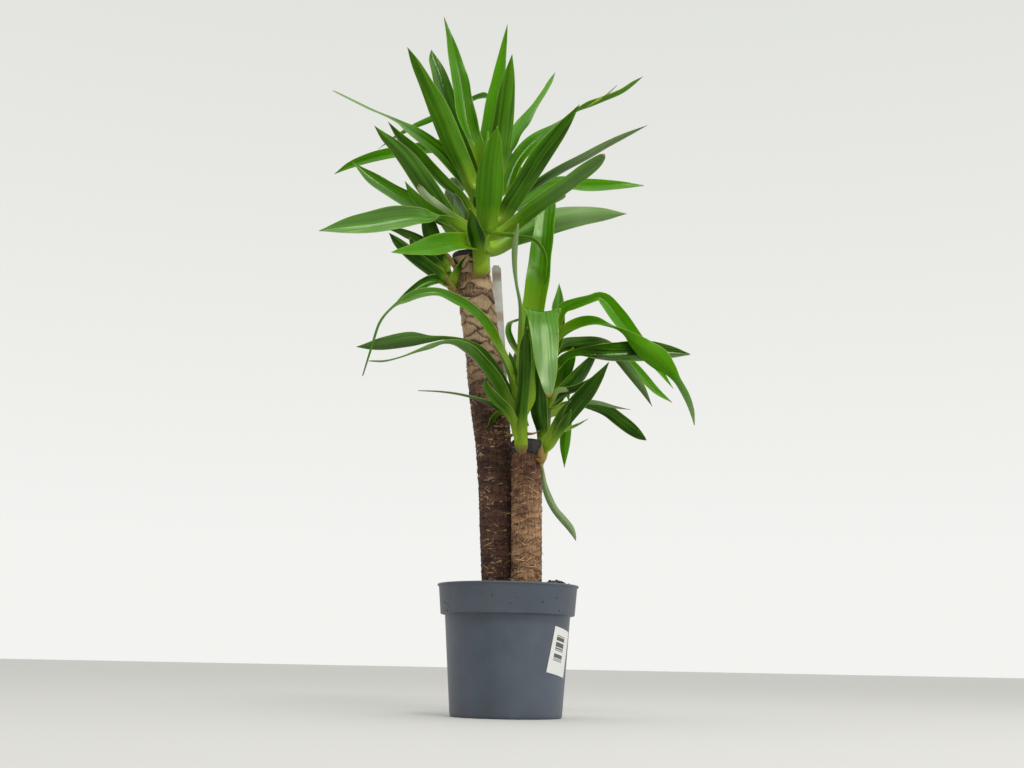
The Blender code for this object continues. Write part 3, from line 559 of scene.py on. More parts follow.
# %% Leaves of the upper heads
LEAVES = {
    "upper_front": {
        "centre": (585, 0.8, 0, [(-35, -35, 596, 26, 0), (-34, -55, 612, 28, 0), (-32, -72, 628, 34, 0),
            (-31, -88, 648, 34, 0), (-29, -102, 669, 26, 0), (-26, -112, 687, 16, 0), (-24, -120, 703, 0, 0)
            ]),
        "low_fan": (548, 0.25, 0, [(-45, -26, 560, 17, 0), (-46, -38, 570, 16, 0), (-48, -46, 582, 22, 0),
            (-52, -58, 594, 18, 0), (-54, -66, 605, 10, 0), (-57, -72, 614, 0, 0)], {"young": 40}),
        "low_left": (570, 0.9, 0, [(-50, -22, 579, 26, -60), (-61, -38, 577, 24, -65),
            (-79, -64, 570, 25, -70), (-103, -84, 558, 25, -75), (-126, -103, 547, 13, -70),
            (-140, -113, 542, 6, -65), (-147, -120, 539, 0, -60)]),
        "thin_right": (575, 0.7, 0, [(-38, -34, 594, 7, -40), (-19, -40, 591, 7, -40),
            (4, -46, 587, 5, -40), (23, -48, 583, 5, -40), (33, -46, 572, 8, -30), (39, -42, 556, 9, -20),
            (39, -38, 528, 1.1, -20)]),
        "long_left": (590, 0.6, 0.6, [(-62, -27, 596, 16, 35), (-78, -37, 604, 15, 30),
            (-94, -45, 610, 11, -15), (-107, -50, 606, 21, -55), (-124, -59, 605, 24, -80),
            (-149, -69, 599, 30, -85), (-179, -79, 589, 28, -85), (-208, -90, 580, 19, -80),
            (-238, -100, 571, 0, -80)], {"bloom_from": 0.25}),
        "long_right": (575, 0.4, 0.35, [(-22, 1, 588, 23, -70), (0, 10, 605, 24, -75),
            (29, 22, 622, 29, -75), (59, 32, 639, 32, -80), (93, 42, 649, 25, -80),
            (122, 50, 654, 16, -75), (150, 55, 657, 0, -75)]),
        "blunt_right": (590, 0.45, 0.2, [(-16, -25, 599, 15, -50), (2, -35, 609, 18, -50),
            (22, -46, 623, 19, -50), (42, -58, 635, 19, -50), (64, -74, 647, 18, -50),
            (84, -92, 657, 18, -50), (99, -105, 665, 14, -50), (108, -112, 672, 6, -50)]),
        "torn": (590, 0.4, 0.4, [(6, -30, 611, 13, -50), (31, -44, 629, 14, -50), (51, -52, 636, 10, -50),
            (63, -56, 639, 5, -50)]),
        "dark_right": (610, 0.3, 0, [(-18, 0, 628, 21, -75), (-7, -4, 647, 23, -80),
            (12, -8, 678, 25, -80), (31, -14, 709, 26, -80), (51, -20, 735, 20, -80),
            (66, -26, 754, 12, -80), (81, -30, 775, 0, -75)], {"young": 40}),
        "spear_right": (660, 0.5, 0, [(-23, 5, 703, 27, -30), (-20, -2, 735, 28, -40),
            (-17, -12, 766, 26, -45), (-14, -22, 793, 21, -45), (-11, -32, 816, 13, -45),
            (-8, -40, 839, 0, -45)]),
        "edge_right": (620, 0.15, 0.3, [(-18, 11, 635, 13, -35), (-4, 15, 650, 15, -40),
            (16, 19, 669, 13, -40), (35, 23, 686, 14, -45), (62, 26, 706, 14, -45), (93, 27, 725, 13, -45),
            (121, 25, 742, 11, -45), (146, 22, 755, 8, -40), (175, 20, 770, 0, -40)], {"fold": 1.4}),
        "spear_left": (660, 0.45, 0, [(-55, -2, 667, 20, 55), (-70, -6, 697, 23, 60),
            (-85, -12, 728, 28, 65), (-102, -20, 766, 27, 65), (-121, -28, 802, 18, 60),
            (-135, -34, 828, 11, 60), (-145, -40, 846, 0, 60)]),
        "dark_left": (600, 0.35, 0.05, [(-76, -7, 605, 24, 50), (-97, -14, 635, 26, 60),
            (-119, -24, 665, 27, 60), (-140, -34, 692, 23, 60), (-157, -42, 708, 16, 60),
            (-170, -47, 718, 10, 60), (-182, -52, 730, 0, 60)]),
        "narrow_left": (615, 0.45, 0, [(-59, 3, 634, 15, 30), (-73, 3, 656, 15, 35),
            (-93, 1, 673, 17, 40), (-113, -5, 692, 19, 40), (-133, -10, 712, 19, 40),
            (-152, -16, 729, 14, 40), (-168, -22, 749, 0, 40)]),
        "behind_left": (600, 0.4, 0.05, [(-84, 9, 619, 23, -60), (-111, 14, 636, 23, -65),
            (-139, 19, 653, 24, -65), (-166, 21, 669, 23, -60), (-192, 21, 687, 18, -60),
            (-217, 20, 709, 0, -60)]),
        "short_left": (590, 0.6, 0, [(-83, -19, 611, 17, 20), (-99, -31, 617, 18, 25),
            (-117, -45, 626, 16, 30), (-131, -56, 639, 10, 35), (-139, -64, 651, 0, 40)]),
        "folded_left": (595, 0.35, 0.9, [(-79, -10, 619, 15, 50), (-97, -15, 631, 16, 55),
            (-111, -18, 644, 13, 60), (-118, -20, 655, 13, 70), (-123, -22, 667, 15, 80)], {"dry": 8}),
        "inner_left": (600, 0.2, 0, [(-54, -3, 603, 27, 20), (-65, 1, 625, 30, 25), (-75, 7, 646, 25, 30),
            (-81, 9, 659, 16, 30), (-84, 12, 671, 0.9, 30)]),
    },
    "upper_back": {
        "top_right": (690, 0.9, 0, [(-35, 42, 753, 27, 20), (-32, 46, 786, 27, 25),
            (-29, 50, 818, 25, 30), (-25, 54, 850, 20, 35), (-22, 57, 882, 13, 40), (-19, 59, 909, 7, 45),
            (-16, 60, 935, 0, 50)]),
        "pale_right": (680, 0.8, 0.2, [(-6, 45, 740, 16, 20), (0, 51, 761, 20, 25), (8, 59, 780, 23, 30),
            (16, 68, 800, 16, 35), (26, 80, 823, 10, 40), (38, 92, 849, 8, 40), (46, 102, 869, 7, 40),
            (53, 110, 888, 0, 40)]),
        "far_right": (650, 0.65, 0.05, [(-12, 39, 679, 22, 50), (-5, 45, 704, 20, 55), (5, 53, 731, 21, 60),
            (21, 61, 755, 22, 60), (39, 68, 772, 23, 45), (55, 74, 790, 15, 20), (74, 80, 809, 12, 0),
            (96, 87, 825, 15, -20), (116, 92, 837, 10, -35), (147, 97, 854, 9, -40),
            (164, 99, 868, 7, -40), (177, 100, 879, 0, -40)]),
        "far_right_spur": (None, 0.6, 0.3, [(96, 87, 825, 8, -20), (121, 92, 842, 5, -20),
            (140, 94, 862, 1, -20)]),
        "low_right": (620, 0.8, 0, [(-4, 57, 655, 24, 30), (19, 71, 678, 21, 45), (41, 89, 703, 20, 60),
            (64, 103, 715, 23, 65), (94, 115, 718, 22, 70), (123, 123, 722, 19, 70),
            (150, 128, 725, 14, 65), (181, 130, 727, 0.8, 65)]),
        "top_left": (690, 0.6, 0.1, [(-56, 22, 730, 24, -70), (-65, 26, 757, 27, -75),
            (-72, 29, 787, 29, -80), (-76, 31, 812, 26, -80), (-80, 32, 836, 25, -80),
            (-87, 32, 865, 20, -80), (-93, 31, 891, 12, -80), (-103, 30, 928, 0, -80)], {"wave": 3}),
        "top_left_back": (680, 0.45, 0.2, [(-63, 38, 715, 21, -50), (-79, 45, 758, 24, -60),
            (-90, 50, 796, 25, -60), (-102, 54, 830, 25, -60), (-111, 57, 860, 21, -60),
            (-118, 59, 879, 13, -60), (-121, 60, 894, 0, -60)]),
        "far_left": (640, 0.5, 1, [(-57, 42, 667, 18, -45), (-83, 53, 712, 21, -55),
            (-106, 61, 742, 21, -60), (-129, 67, 763, 20, -60), (-148, 72, 778, 18, -50),
            (-163, 77, 791, 10, -40), (-180, 82, 802, 6, -40), (-206, 91, 817, 5, -40),
            (-233, 100, 834, 5, -40), (-262, 110, 853, 2.5, -40)], {"bloom_from": 0.45, "dry": 14}),
        "wide_left": (690, 0.9, 0, [(-57, 60, 732, 19, -85), (-83, 83, 754, 20, -85),
            (-107, 99, 765, 20, -85), (-142, 117, 768, 18, -85), (-177, 131, 768, 17, -85),
            (-209, 141, 764, 16, -85), (-239, 152, 757, 11, -85), (-262, 160, 747, 0, -85)]),
        "arched": (705, 0.7, 0.05, [(-35, 70, 767, 17, 10), (-36, 95, 814, 17, 10), (-37, 113, 840, 15, 15),
            (-45, 127, 856, 13, 25), (-59, 140, 861, 8, 35), (-76, 150, 857, 7, 40),
            (-101, 158, 848, 7, 45), (-126, 165, 837, 9, 45), (-153, 172, 827, 7, 45),
            (-178, 178, 814, 4, 40), (-203, 182, 796, 0, 40)]),
    },
    "upper_left": {
        "up": (545, 0.1, 0, [(-93, 8, 560, 16, 60), (-100, 6, 578, 20, 70), (-106, 4, 597, 22, 75),
            (-112, 2, 616, 20, 75), (-116, 0, 634, 10, 75), (-118, 0, 645, 0, 75)], {"young": 20}),
        "out": (550, 0.2, 0, [(-95, 10, 569, 19, 50), (-108, 15, 585, 16, 50), (-125, 20, 601, 14, 55),
            (-145, 28, 613, 12, 55), (-157, 32, 619, 7, 50), (-168, 36, 622, 0, 50)], {"young": 20}),
        "front": (535, 0.15, 0, [(-87, -4, 538, 15, 45), (-104, -10, 551, 17, 55),
            (-122, -17, 563, 17, 60), (-138, -25, 574, 15, 60), (-150, -33, 583, 10, 60),
            (-159, -40, 591, 0, 60)], {"young": 20}),
        "middle": (545, 0.1, 0, [(-90, -2, 550, 15, 50), (-106, -8, 564, 17, 60), (-120, -14, 575, 14, 60),
            (-130, -22, 583, 8, 60), (-134, -28, 589, 0, 60)], {"young": 20}),
        "down": (533, 0.2, 0, [(-88, -3, 533, 18, -60), (-99, -7, 538, 18, -65), (-112, -13, 533, 16, -65),
            (-127, -20, 521, 12, -65), (-138, -26, 511, 7, -60), (-149, -30, 501, 0, -60)], {"young": 20}),
        "inner": (532, 0.2, 0, [(-73, -2, 538, 22, 20), (-68, -5, 555, 20, 20), (-60, -7, 569, 13, 20),
            (-52, -10, 579, 0.9, 20)], {"young": 25}),
        "spike": (None, 0.5, 0, [(-79, -10, 557, 6, 20), (-83, -12, 566, 8, 20), (-87, -13, 572, 6, 20),
            (-92, -14, 577, 1, 20)], {"dry": 90}),
        "husk": (None, 0.5, 0, [(-75, -6, 525, 8, 60), (-80, -8, 530, 10, 60), (-84, -9, 537, 8, 60),
            (-87, -10, 545, 1.3, 60)], {"dry": 90}),
    },
}
print("the upper heads have", sum(len(leaves) for leaves in LEAVES.values()), "leaves in view")

# %% Leaves of the lower heads
LEAVES.update({
    "lower_front": {
        "arch_high": (345, 0.55, 0.4, [(3, -44, 371, 17, -25), (-2, -48, 395, 17, -35),
            (-9, -54, 417, 17, -50), (-21, -63, 440, 19, -60), (-34, -72, 463, 18, -70),
            (-51, -82, 479, 17, -70), (-72, -89, 490, 16, -70), (-92, -95, 497, 13, -70),
            (-115, -100, 493, 13, -70), (-131, -104, 484, 9, -70), (-142, -108, 476, 3.8, -60),
            (-157, -112, 456, 3.2, -55), (-166, -115, 423, 2.9, -50), (-175, -116, 388, 1.3, -50)
            ], {"young": 110}),
        "arch_low": (335, 0.5, 0.35, [(3, -45, 352, 14, 20), (-9, -52, 375, 17, 20),
            (-21, -60, 394, 20, 20), (-36, -71, 412, 21, 15), (-51, -82, 426, 20, 15),
            (-66, -93, 434, 13, 20), (-80, -104, 433, 8, 30), (-95, -112, 426, 9, 40),
            (-111, -120, 418, 6, 30), (-131, -128, 408, 4, 20), (-149, -133, 402, 4, 20),
            (-166, -138, 401, 2, 20)]),
        "arch_wide": (340, 0.2, 0.1, [(3, -40, 363, 13, 35), (-8, -46, 389, 13, 40),
            (-22, -54, 413, 12, 40), (-38, -62, 432, 12, 40), (-58, -72, 442, 8, 45),
            (-80, -80, 445, 5, 55), (-100, -85, 442, 9, 65), (-122, -90, 440, 18, 70),
            (-153, -95, 433, 16, 70), (-171, -98, 429, 9, 70), (-186, -100, 427, 0, 65)]),
        "thin_left": (318, 0.1, 0.3, [(4, -42, 332, 12, 10), (-1, -50, 348, 12, 10),
            (-12, -60, 359, 14, 10), (-26, -69, 365, 14, 10), (-42, -80, 370, 8, 10),
            (-62, -90, 373, 6, 10), (-85, -100, 374, 5, 10), (-110, -110, 373, 1.2, 10)]),
        "spike_left": (320, 0.4, 0, [(4, -52, 346, 10, 20), (-5, -66, 359, 12, 20),
            (-17, -78, 368, 14, 20), (-27, -88, 378, 11, 20), (-31, -95, 386, 6, 20),
            (-33, -100, 394, 0, 20)]),
        "shadow_left": (330, 0, 0, [(-4, -18, 356, 13, 20), (-12, -14, 366, 13, 20),
            (-21, -14, 360, 11, 20), (-31, -16, 342, 0, 20)]),
        "inner_left": (350, 0.2, 0, [(5, -42, 391, 9, 20), (1, -46, 412, 9, 20), (-2, -50, 427, 8, 20),
            (-4, -53, 436, 0, 20)]),
        "upright": (395, 0.75, 0, [(22, -38, 416, 19, 0), (26, -37, 449, 26, 5), (29, -34, 488, 31, 10),
            (33, -30, 524, 32, 10), (36, -22, 567, 31, 10), (39, -12, 608, 27, 15), (41, -2, 643, 25, 20),
            (44, 4, 666, 6, 20)], {"young": 130, "fold": 1.3}),
        "needle": (380, 0.5, 0.5, [(7, -44, 397, 8, 0), (8, -44, 447, 7, 0), (8, -45, 498, 5, 0),
            (3, -48, 524, 4, 0), (0, -52, 549, 7, 0), (0, -56, 573, 8, 0), (4, -60, 600, 2.1, 0)
            ], {"young": 90}),
        "drooping": (360, 0.6, 1, [(22, -44, 381, 19, 5), (25, -50, 414, 27, 10), (29, -58, 444, 35, 10),
            (33, -70, 473, 39, 10), (36, -79, 479, 43, 5), (34, -89, 477, 45, 5), (35, -98, 465, 37, 5),
            (38, -109, 438, 33, 10), (39, -118, 413, 28, 10), (41, -125, 393, 22, 15),
            (42, -131, 376, 14, 15), (43, -135, 363, 5, 20)], {"dry": 6, "bloom_from": 0.55, "fold": 0.35}),
        "front": (318, 0.3, 0, [(11, -50, 339, 15, -5), (12, -60, 365, 15, -5), (14, -72, 389, 15, -10),
            (15, -84, 414, 16, -10), (15, -94, 436, 13, -10), (17, -102, 455, 0, -10)], {"young": 40}),
        "curl": (420, 0.2, 0, [(6, -4, 448, 8, -10), (-2, 6, 465, 9, -10), (-6, 14, 480, 8, -10),
            (-4, 22, 492, 7, -10), (1, 28, 496, 7, -10), (10, 34, 503, 0.9, -10)]),
        "sliver_a": (None, 0.6, 0, [(1, -34, 334, 6, 0), (-4, -38, 336, 6, 0), (-6, -40, 339, 1.1, 0)
            ], {"dry": 90}),
        "sliver_b": (None, 0.6, 0, [(20, -36, 336, 6, 0), (28, -38, 337, 6, 0), (35, -40, 341, 1.7, 0)
            ], {"dry": 90}),
    },
    "lower_right": {
        "column": (322, 0.05, 0, [(37, -26, 342, 14, -10), (32, -34, 365, 21, -15),
            (31, -42, 389, 22, -20), (31, -50, 415, 21, -25), (34, -56, 441, 14, -30),
            (36, -60, 463, 0, -30)], {"young": 20}),
        "spear": (440, 0.6, 0.3, [(57, 6, 461, 15, 0), (59, 12, 489, 16, 5), (58, 18, 513, 16, 10),
            (59, 22, 530, 10, 15), (59, 26, 549, 0, 20)]),
        "bent": (445, 0.85, 0, [(58, 2, 478, 14, 55), (65, 3, 504, 18, 65), (78, 2, 511, 17, 70),
            (98, 0, 519, 12, 75), (110, 0, 523, 13, 75), (117, -1, 518, 18, 75), (130, -5, 500, 21, 75),
            (146, -9, 477, 21, 70), (163, -13, 453, 18, 70), (179, -16, 432, 11, 70), (201, -20, 401, 0, 70)
            ]),
        "arch_front": (440, 0.9, 1, [(56, -2, 458, 17, 40), (63, -4, 468, 20, 50), (76, -11, 476, 22, 55),
            (91, -19, 481, 20, 60), (104, -27, 481, 15, 55), (116, -35, 476, 10, 35),
            (129, -42, 470, 9, 0), (143, -48, 457, 17, -55), (161, -56, 442, 24, -80),
            (178, -61, 428, 27, -80), (190, -65, 415, 18, -75), (199, -69, 400, 11, -60),
            (209, -75, 378, 13, -50), (215, -78, 360, 9, -50), (218, -80, 344, 1.2, -45)
            ], {"bloom_from": 0.75}),
        "arch_mid": (430, 0.3, 0.2, [(58, 8, 453, 16, -40), (68, 14, 461, 18, -50), (86, 21, 466, 17, -55),
            (109, 28, 470, 15, -60), (125, 34, 467, 13, -60), (138, 39, 454, 13, -60),
            (153, 44, 437, 13, -60), (168, 49, 418, 10, -60), (183, 55, 393, 0, -60)], {"young": 30}),
        "arch_back": (430, 0.7, 0.1, [(59, 16, 453, 11, 60), (81, 29, 463, 15, 70), (114, 42, 466, 15, 80),
            (137, 50, 462, 14, 85), (156, 58, 449, 14, 85), (174, 64, 431, 14, 85), (190, 68, 416, 11, 85),
            (211, 70, 402, 0, 85)]),
        "level": (405, 0.2, 0, [(58, -2, 427, 15, 55), (67, -4, 439, 14, 60), (82, -6, 446, 13, 65),
            (104, -8, 446, 22, 70), (128, -8, 446, 30, 70), (153, -7, 448, 33, 70), (177, -6, 450, 30, 70),
            (202, -6, 450, 19, 70), (225, -5, 449, 1, 65)], {"young": 25}),
        "short_up": (375, 0.15, 0, [(57, -7, 386, 18, -50), (71, -9, 401, 19, -50),
            (85, -10, 416, 21, -50), (96, -10, 432, 15, -50), (105, -10, 446, 5, -50)], {"young": 20}),
        "crossing": (365, 0.05, 0, [(50, -20, 380, 12, -40), (61, -28, 390, 12, -50),
            (78, -34, 395, 9, -50), (96, -40, 403, 8, -45), (108, -45, 415, 0.8, -40)], {"young": 20}),
        "dark_up": (318, 0.05, 0, [(50, -24, 334, 14, -50), (61, -31, 350, 17, -60),
            (75, -40, 369, 21, -60), (91, -49, 387, 20, -60), (105, -56, 405, 12, -60),
            (118, -62, 424, 0, -60)], {"young": 25}),
        "low": (365, 0.3, 0, [(58, 9, 373, 14, -50), (70, 16, 383, 12, -55), (89, 28, 389, 10, -60),
            (107, 38, 388, 13, -60), (125, 44, 383, 16, -60), (140, 48, 373, 17, -60),
            (155, 50, 362, 16, -60), (167, 51, 353, 10, -60), (175, 52, 348, 1.3, -60)], {"young": 25}),
        "low_thin": (362, 0.4, 0.6, [(62, 4, 375, 12, -40), (84, 12, 387, 8, -50), (110, 20, 389, 6, -50),
            (132, 25, 385, 4, -45), (152, 28, 383, 0, -40)]),
        "hook": (362, 0.9, 0, [(58, 11, 371, 18, -20), (63, 21, 378, 15, -20), (70, 29, 375, 13, -20),
            (70, 36, 356, 14, -20), (69, 41, 335, 12, -20), (69, 45, 309, 0, -20)]),
        "behind_up": (370, 0.7, 0, [(57, 2, 385, 15, 40), (62, 6, 409, 17, 45), (68, 11, 429, 18, 45),
            (74, 16, 448, 14, 45), (78, 20, 463, 0, 45)]),
        "sprout_a": (316, 0.35, 0, [(44, -32, 325, 8, -25), (50, -40, 340, 9, -25), (58, -48, 356, 9, -20),
            (64, -54, 367, 6, -20), (72, -60, 375, 0, -20)], {"young": 40}),
        "sprout_b": (312, 0.35, 0, [(47, -30, 320, 10, -20), (55, -38, 333, 11, -20),
            (64, -48, 347, 11, -20), (69, -56, 357, 7, -20), (72, -62, 364, 0, -20)], {"young": 40}),
        "thin": (335, 0.4, 0.3, [(57, 0, 345, 7, 40), (69, 8, 351, 7, 40), (83, 16, 359, 4, 40),
            (98, 22, 369, 0, 40)]),
        "torn_tip": (370, 0.4, 1, [(50, -34, 382, 7, -40), (55, -42, 390, 7, -50), (63, -47, 391, 7, -60),
            (69, -50, 389, 4, -60)]),
        "hanging": (312, 0.6, 1, [(38, 20, 312, 3.9, -15), (41, 30, 298, 5, -20), (43, 34, 286, 7, -25),
            (49, 40, 270, 9, -30), (58, 45, 254, 9, -30), (68, 49, 243, 10, -30), (78, 53, 232, 9, -25),
            (83, 54, 223, 5, -20), (85, 55, 217, 0, -20)], {"bloom_from": 0.1}),
        "husk": (None, 0.5, 0, [(40, -30, 303, 3.7, 20), (37, -34, 309, 7, 25), (37, -35, 317, 6, 20),
            (38, -34, 324, 1.3, 10)], {"dry": 90}),
        "husk_left": (None, 0.5, 0, [(39, -30, 302, 7, 10), (34, -32, 304, 11, 10), (30, -33, 308, 2.1, 10)
            ], {"dry": 90}),
    },
})
print("the lower heads have", sum(len(LEAVES[s]) for s in ("lower_front", "lower_right")), "leaves in view")

# %% Leaves of the far side
FAR_LEAVES = {   # first root height, step in height, bearings in degrees from +X, length, width
    "upper_back": (600, 18, (62, 98, 80, 104, 92, 72), 220, 30),
    "lower_right": (345, 22, (84, 100, 72, 112), 125, 22),
}


def stem_point(stem, z):
    """The middle of a stem at height z."""
    x, y = [between([(row[2], row[k]) for row in STEMS[stem]], z) for k in (0, 1)]
    return Vector((x, y, z))


for stem, (first, step, bearings, length, width) in FAR_LEAVES.items():
    for k, bearing in enumerate(bearings):
        root = first + step * k
        foot = stem_point(stem, root)
        out = Vector((math.cos(math.radians(bearing)), math.sin(math.radians(bearing)), 0))
        reach = length * (1.0 + 0.12 * math.sin(2.3 * k))
        rise = 0.25 + 0.1 * math.sin(1.7 * k + 1)
        arc = [(14, 26, 0.5), (reach * 0.5, 26 + reach * rise, 1.0), (reach * 0.78, 20 + reach * rise, 0.7),
               (reach * 0.95, 10 + reach * (rise - 0.1), 0)]
        rows = [(*(foot + out * away + Vector((0, 0, up))), share * width, 0) for away, up, share in arc]
        LEAVES[stem]["far_%d" % (k + 1)] = (root, 0.3 + 0.4 * ((k * 5) % 3) / 2, 0.2, rows)

# %% [markdown]
# ## One blade
# A blade could be an array of boxes or a curve with a bevel, but its fold, its twist and its
# pinched base all change along it, so mesh code is the plain way: rows of points across the
# midrib's smooth path, an upper and a lower skin a leaf's thickness apart, and a rim between them.
# Extra columns lie close to the margins, so that only the very edge looks rounded.

# %% A blade's shape
FOLD = [(0.0, 48.0), (0.2, 38.0), (0.5, 25.0), (1.0, 14.0)]   # degrees that each half rises
THICKNESS = [(0.0, 1.5), (0.3, 1.0), (1.0, 0.7)]      # mm, at the midrib
MARGIN_THICKNESS = 0.45                                # mm
COLUMNS = np.array([-1.0, -0.95, -0.8, -0.55, -0.28, 0.0, 0.28, 0.55, 0.8, 0.95, 1.0])
ROW_STEP = 4.0                                         # mm between rows
FOLD_SOFTNESS = 0.14                                   # how round the V at the midrib is
FINEST_WIDTH = 0.4                                     # mm, at a sharp tip
NARROW = 2.5                                           # mm, half a blade too thin to show a margin
PLAIN_LOOK = {"dry": 2.5, "young": 50, "wave": 1.0, "fold": 1.0, "bloom_from": 0.4}


def blade(stem, leaf, wobble):
    """The points, faces, finish of each face and marks of one leaf."""
    root, tone_and_shade, bloom, rows = leaf[:4]
    look = {**PLAIN_LOOK, **(leaf[4] if len(leaf) > 4 else {})}
    if root is not None:
        rows = [(*stem_point(stem, root), 0.85 * rows[0][3], 0.5 * rows[0][4])] + rows
    path, places, reach = smooth_path([row[:3] for row in rows], ROW_STEP)
    widths, turns = [[(t, row[k]) for t, row in zip(places, rows)] for k in (3, 4)]
    count = len(path)
    out = path[-1] - path[0]
    across = Vector((-out.y, out.x, 0)).normalized()
    phase = wobble.uniform(0, 6)
    sway = wobble.uniform(0.3, 1.0) * look["wave"]
    uneven = wobble.uniform(-4, 4)
    bend = np.sqrt(COLUMNS**2 + FOLD_SOFTNESS**2) - FOLD_SOFTNESS
    bend /= bend[-1]
    blunt = max(0.35 * rows[-1][3], 0.01)
    middle, marks = [], []
    for i, spot in enumerate(path):
        t = i / (count - 1)
        along = (path[min(i + 1, count - 1)] - path[max(i - 1, 0)]).normalized()
        side = (across - along * across.dot(along)).normalized()
        side = Matrix.Rotation(math.radians(eased(turns, t)), 3, along) @ side
        up = along.cross(side)
        run = reach * t
        rounding = math.sqrt(min(1.0, (reach - run + 0.3) / blunt))
        half_width = max(eased(widths, t) * rounding, FINEST_WIDTH) / 2
        lean = np.radians(eased(FOLD, t) * look["fold"] + uneven * COLUMNS)
        wave = sway * min(1, 3 * t) * math.sin(run / 9 + phase)
        ripple = wave * COLUMNS * np.abs(COLUMNS) * half_width / 15
        sideways, lift = COLUMNS * half_width, bend * half_width * np.tan(lean) + ripple
        middle.append(np.array(spot) + np.outer(sideways, side) + np.outer(lift, up))
        # The bloom share is partly wax and partly a painted grey sheen, and it grows towards the tip.
        bloom_and_sheen_here = bloom * min(max((t - look["bloom_from"]) / 0.3, 0), 1)
        for u in COLUMNS:
            from_margin = (1 - abs(u)) * half_width + max(0, NARROW - half_width)
            from_foot = run * PLAIN_LOOK["young"] / look["young"]
            marks.append((from_foot, u * half_width, from_margin, reach - run, look["dry"], tone_and_shade, bloom_and_sheen_here))
    middle = np.array(middle)
    down_rows = np.gradient(middle, axis=0)
    over_columns = np.gradient(middle, axis=1)
    normal = np.cross(down_rows, over_columns)
    normal /= np.maximum(np.linalg.norm(normal, axis=2, keepdims=True), 1e-9)
    body = np.array([eased(THICKNESS, i / (count - 1)) for i in range(count)])[:, None]
    thick = MARGIN_THICKNESS + (body - MARGIN_THICKNESS) * (1 - COLUMNS[None, :] ** 2)
    top = (middle + normal * thick[..., None] / 2).reshape(-1, 3)
    low = (middle - normal * thick[..., None] / 2).reshape(-1, 3)
    wide, far = len(COLUMNS), count * len(COLUMNS)
    faces, finish = [], []
    for i in range(count - 1):
        for j in range(wide - 1):
            a, b = i * wide + j, (i + 1) * wide + j
            faces += [(a, b, b + 1, a + 1), (far + a, far + a + 1, far + b + 1, far + b)]
            finish += [0, 1]
        a, b = i * wide, (i + 1) * wide
        c, d = a + wide - 1, b + wide - 1
        faces += [(a, far + a, far + b, b), (c, d, far + d, far + c)]
        finish += [0, 0]
    last = (count - 1) * wide
    for j in range(wide - 1):
        k = last + j
        faces += [(j, j + 1, far + j + 1, far + j), (k, far + k, far + k + 1, k + 1)]
        finish += [0, 0]
    return np.concatenate([top, low]), faces, finish, np.array(marks + marks)


# %% [markdown]
# ## The shoots
# Each head becomes one piece: its stem, which is mostly hidden by leaf bases, and all its leaves.
# Where a stem breaks out of the bark its skin has dried to a tan rim, so the canes' own sizes tell
# each point of a stem how far it stands out.

# %% The canes that carry them
TALL_Y, TALL_TOP = 12.0, 573.0
TALL = [(102, -10, 21.5), (150, -10, 21.5), (165, -10, 22.5), (215, -13, 22.5), (265, -16, 22.0),
        (325, -21, 22.0), (390, -30, 22.5), (455, -38, 22.0), (520, -48, 22.0), (573, -57, 22.5)]
SHORT_Y, SHORT_TOP = -16.0, 322.0
SHORT = [(102, 22, 17.0), (150, 22, 17.0), (165, 22, 18.0), (240, 21, 18.0), (322, 20, 18.0)]


def out_of_bark(stem, points):
    """How far each point lies outside its cane's bark, in millimetres."""
    table, y = (TALL, TALL_Y) if stem.startswith("upper") else (SHORT, SHORT_Y)
    heights, middles, radii = np.array(table).T
    x = np.interp(points[:, 2], heights, middles)
    radius = np.where(points[:, 2] < heights[-1] + 2, np.interp(points[:, 2], heights, radii), -99)
    return np.hypot(points[:, 0] - x, points[:, 1] - y) - radius


# %% Stem and leaves of each head
def tube(rows, sides=24):
    """A closed tube through rows of (middle, radius)."""
    points = []
    for (x, y, z), radius in rows:
        for j in range(sides):
            angle = math.tau * j / sides
            points.append((x + radius * math.cos(angle), y + radius * math.sin(angle), z))
    ends = [tuple(reversed(range(sides))), tuple(range(len(points) - sides, len(points)))]
    return np.array(points), ring_faces(len(rows), sides) + ends


def stem_rows(stem, step=3.0):
    """Rows of (middle, radius) up a stem, about a step apart."""
    xs, ys, radii = [[(row[2], row[k]) for row in STEMS[stem]] for k in (0, 1, 3)]
    low, high = xs[0][0], xs[-1][0]
    count = round((high - low) / step)
    heights = [low + (high - low) * k / count for k in range(count + 1)]
    return [((eased(xs, z), eased(ys, z), z), eased(radii, z)) for z in heights]


FOOT_RIM = 9.0      # mm of dry tan skin where a foot leaves the bark
FIRST_SEED = 31
for number, (stem, leaves) in enumerate(LEAVES.items()):
    wobble = random.Random(FIRST_SEED + number)
    points, faces = tube(stem_rows(stem))
    finish = [1] * len(faces)
    tone_and_shade, hidden = STEM_LOOK[stem]
    run, whole = hidden + 0.6 * (points[:, 2] - points[0, 2]), np.ones(len(points))
    across, outside = np.arctan2(points[:, 1], points[:, 0]) * 8, np.maximum(out_of_bark(stem, points), 0)
    marks = np.stack([run, across, 9 * whole, outside, FOOT_RIM * whole, tone_and_shade * whole, 0 * whole], axis=1)
    for name, leaf in leaves.items():
        more_points, more_faces, more_finish, more_marks = blade(stem, leaf, wobble)
        faces += [tuple(len(points) + k for k in face) for face in more_faces]
        points = np.concatenate([points, more_points])
        marks = np.concatenate([marks, more_marks])
        finish += more_finish
    named = dict(zip(MARKS, marks.T))
    head = piece_from("leaves_" + stem, points, faces, LEAF_FINISHES, finish, named)
    ride_as(head, "leaf", "shoot_" + stem)

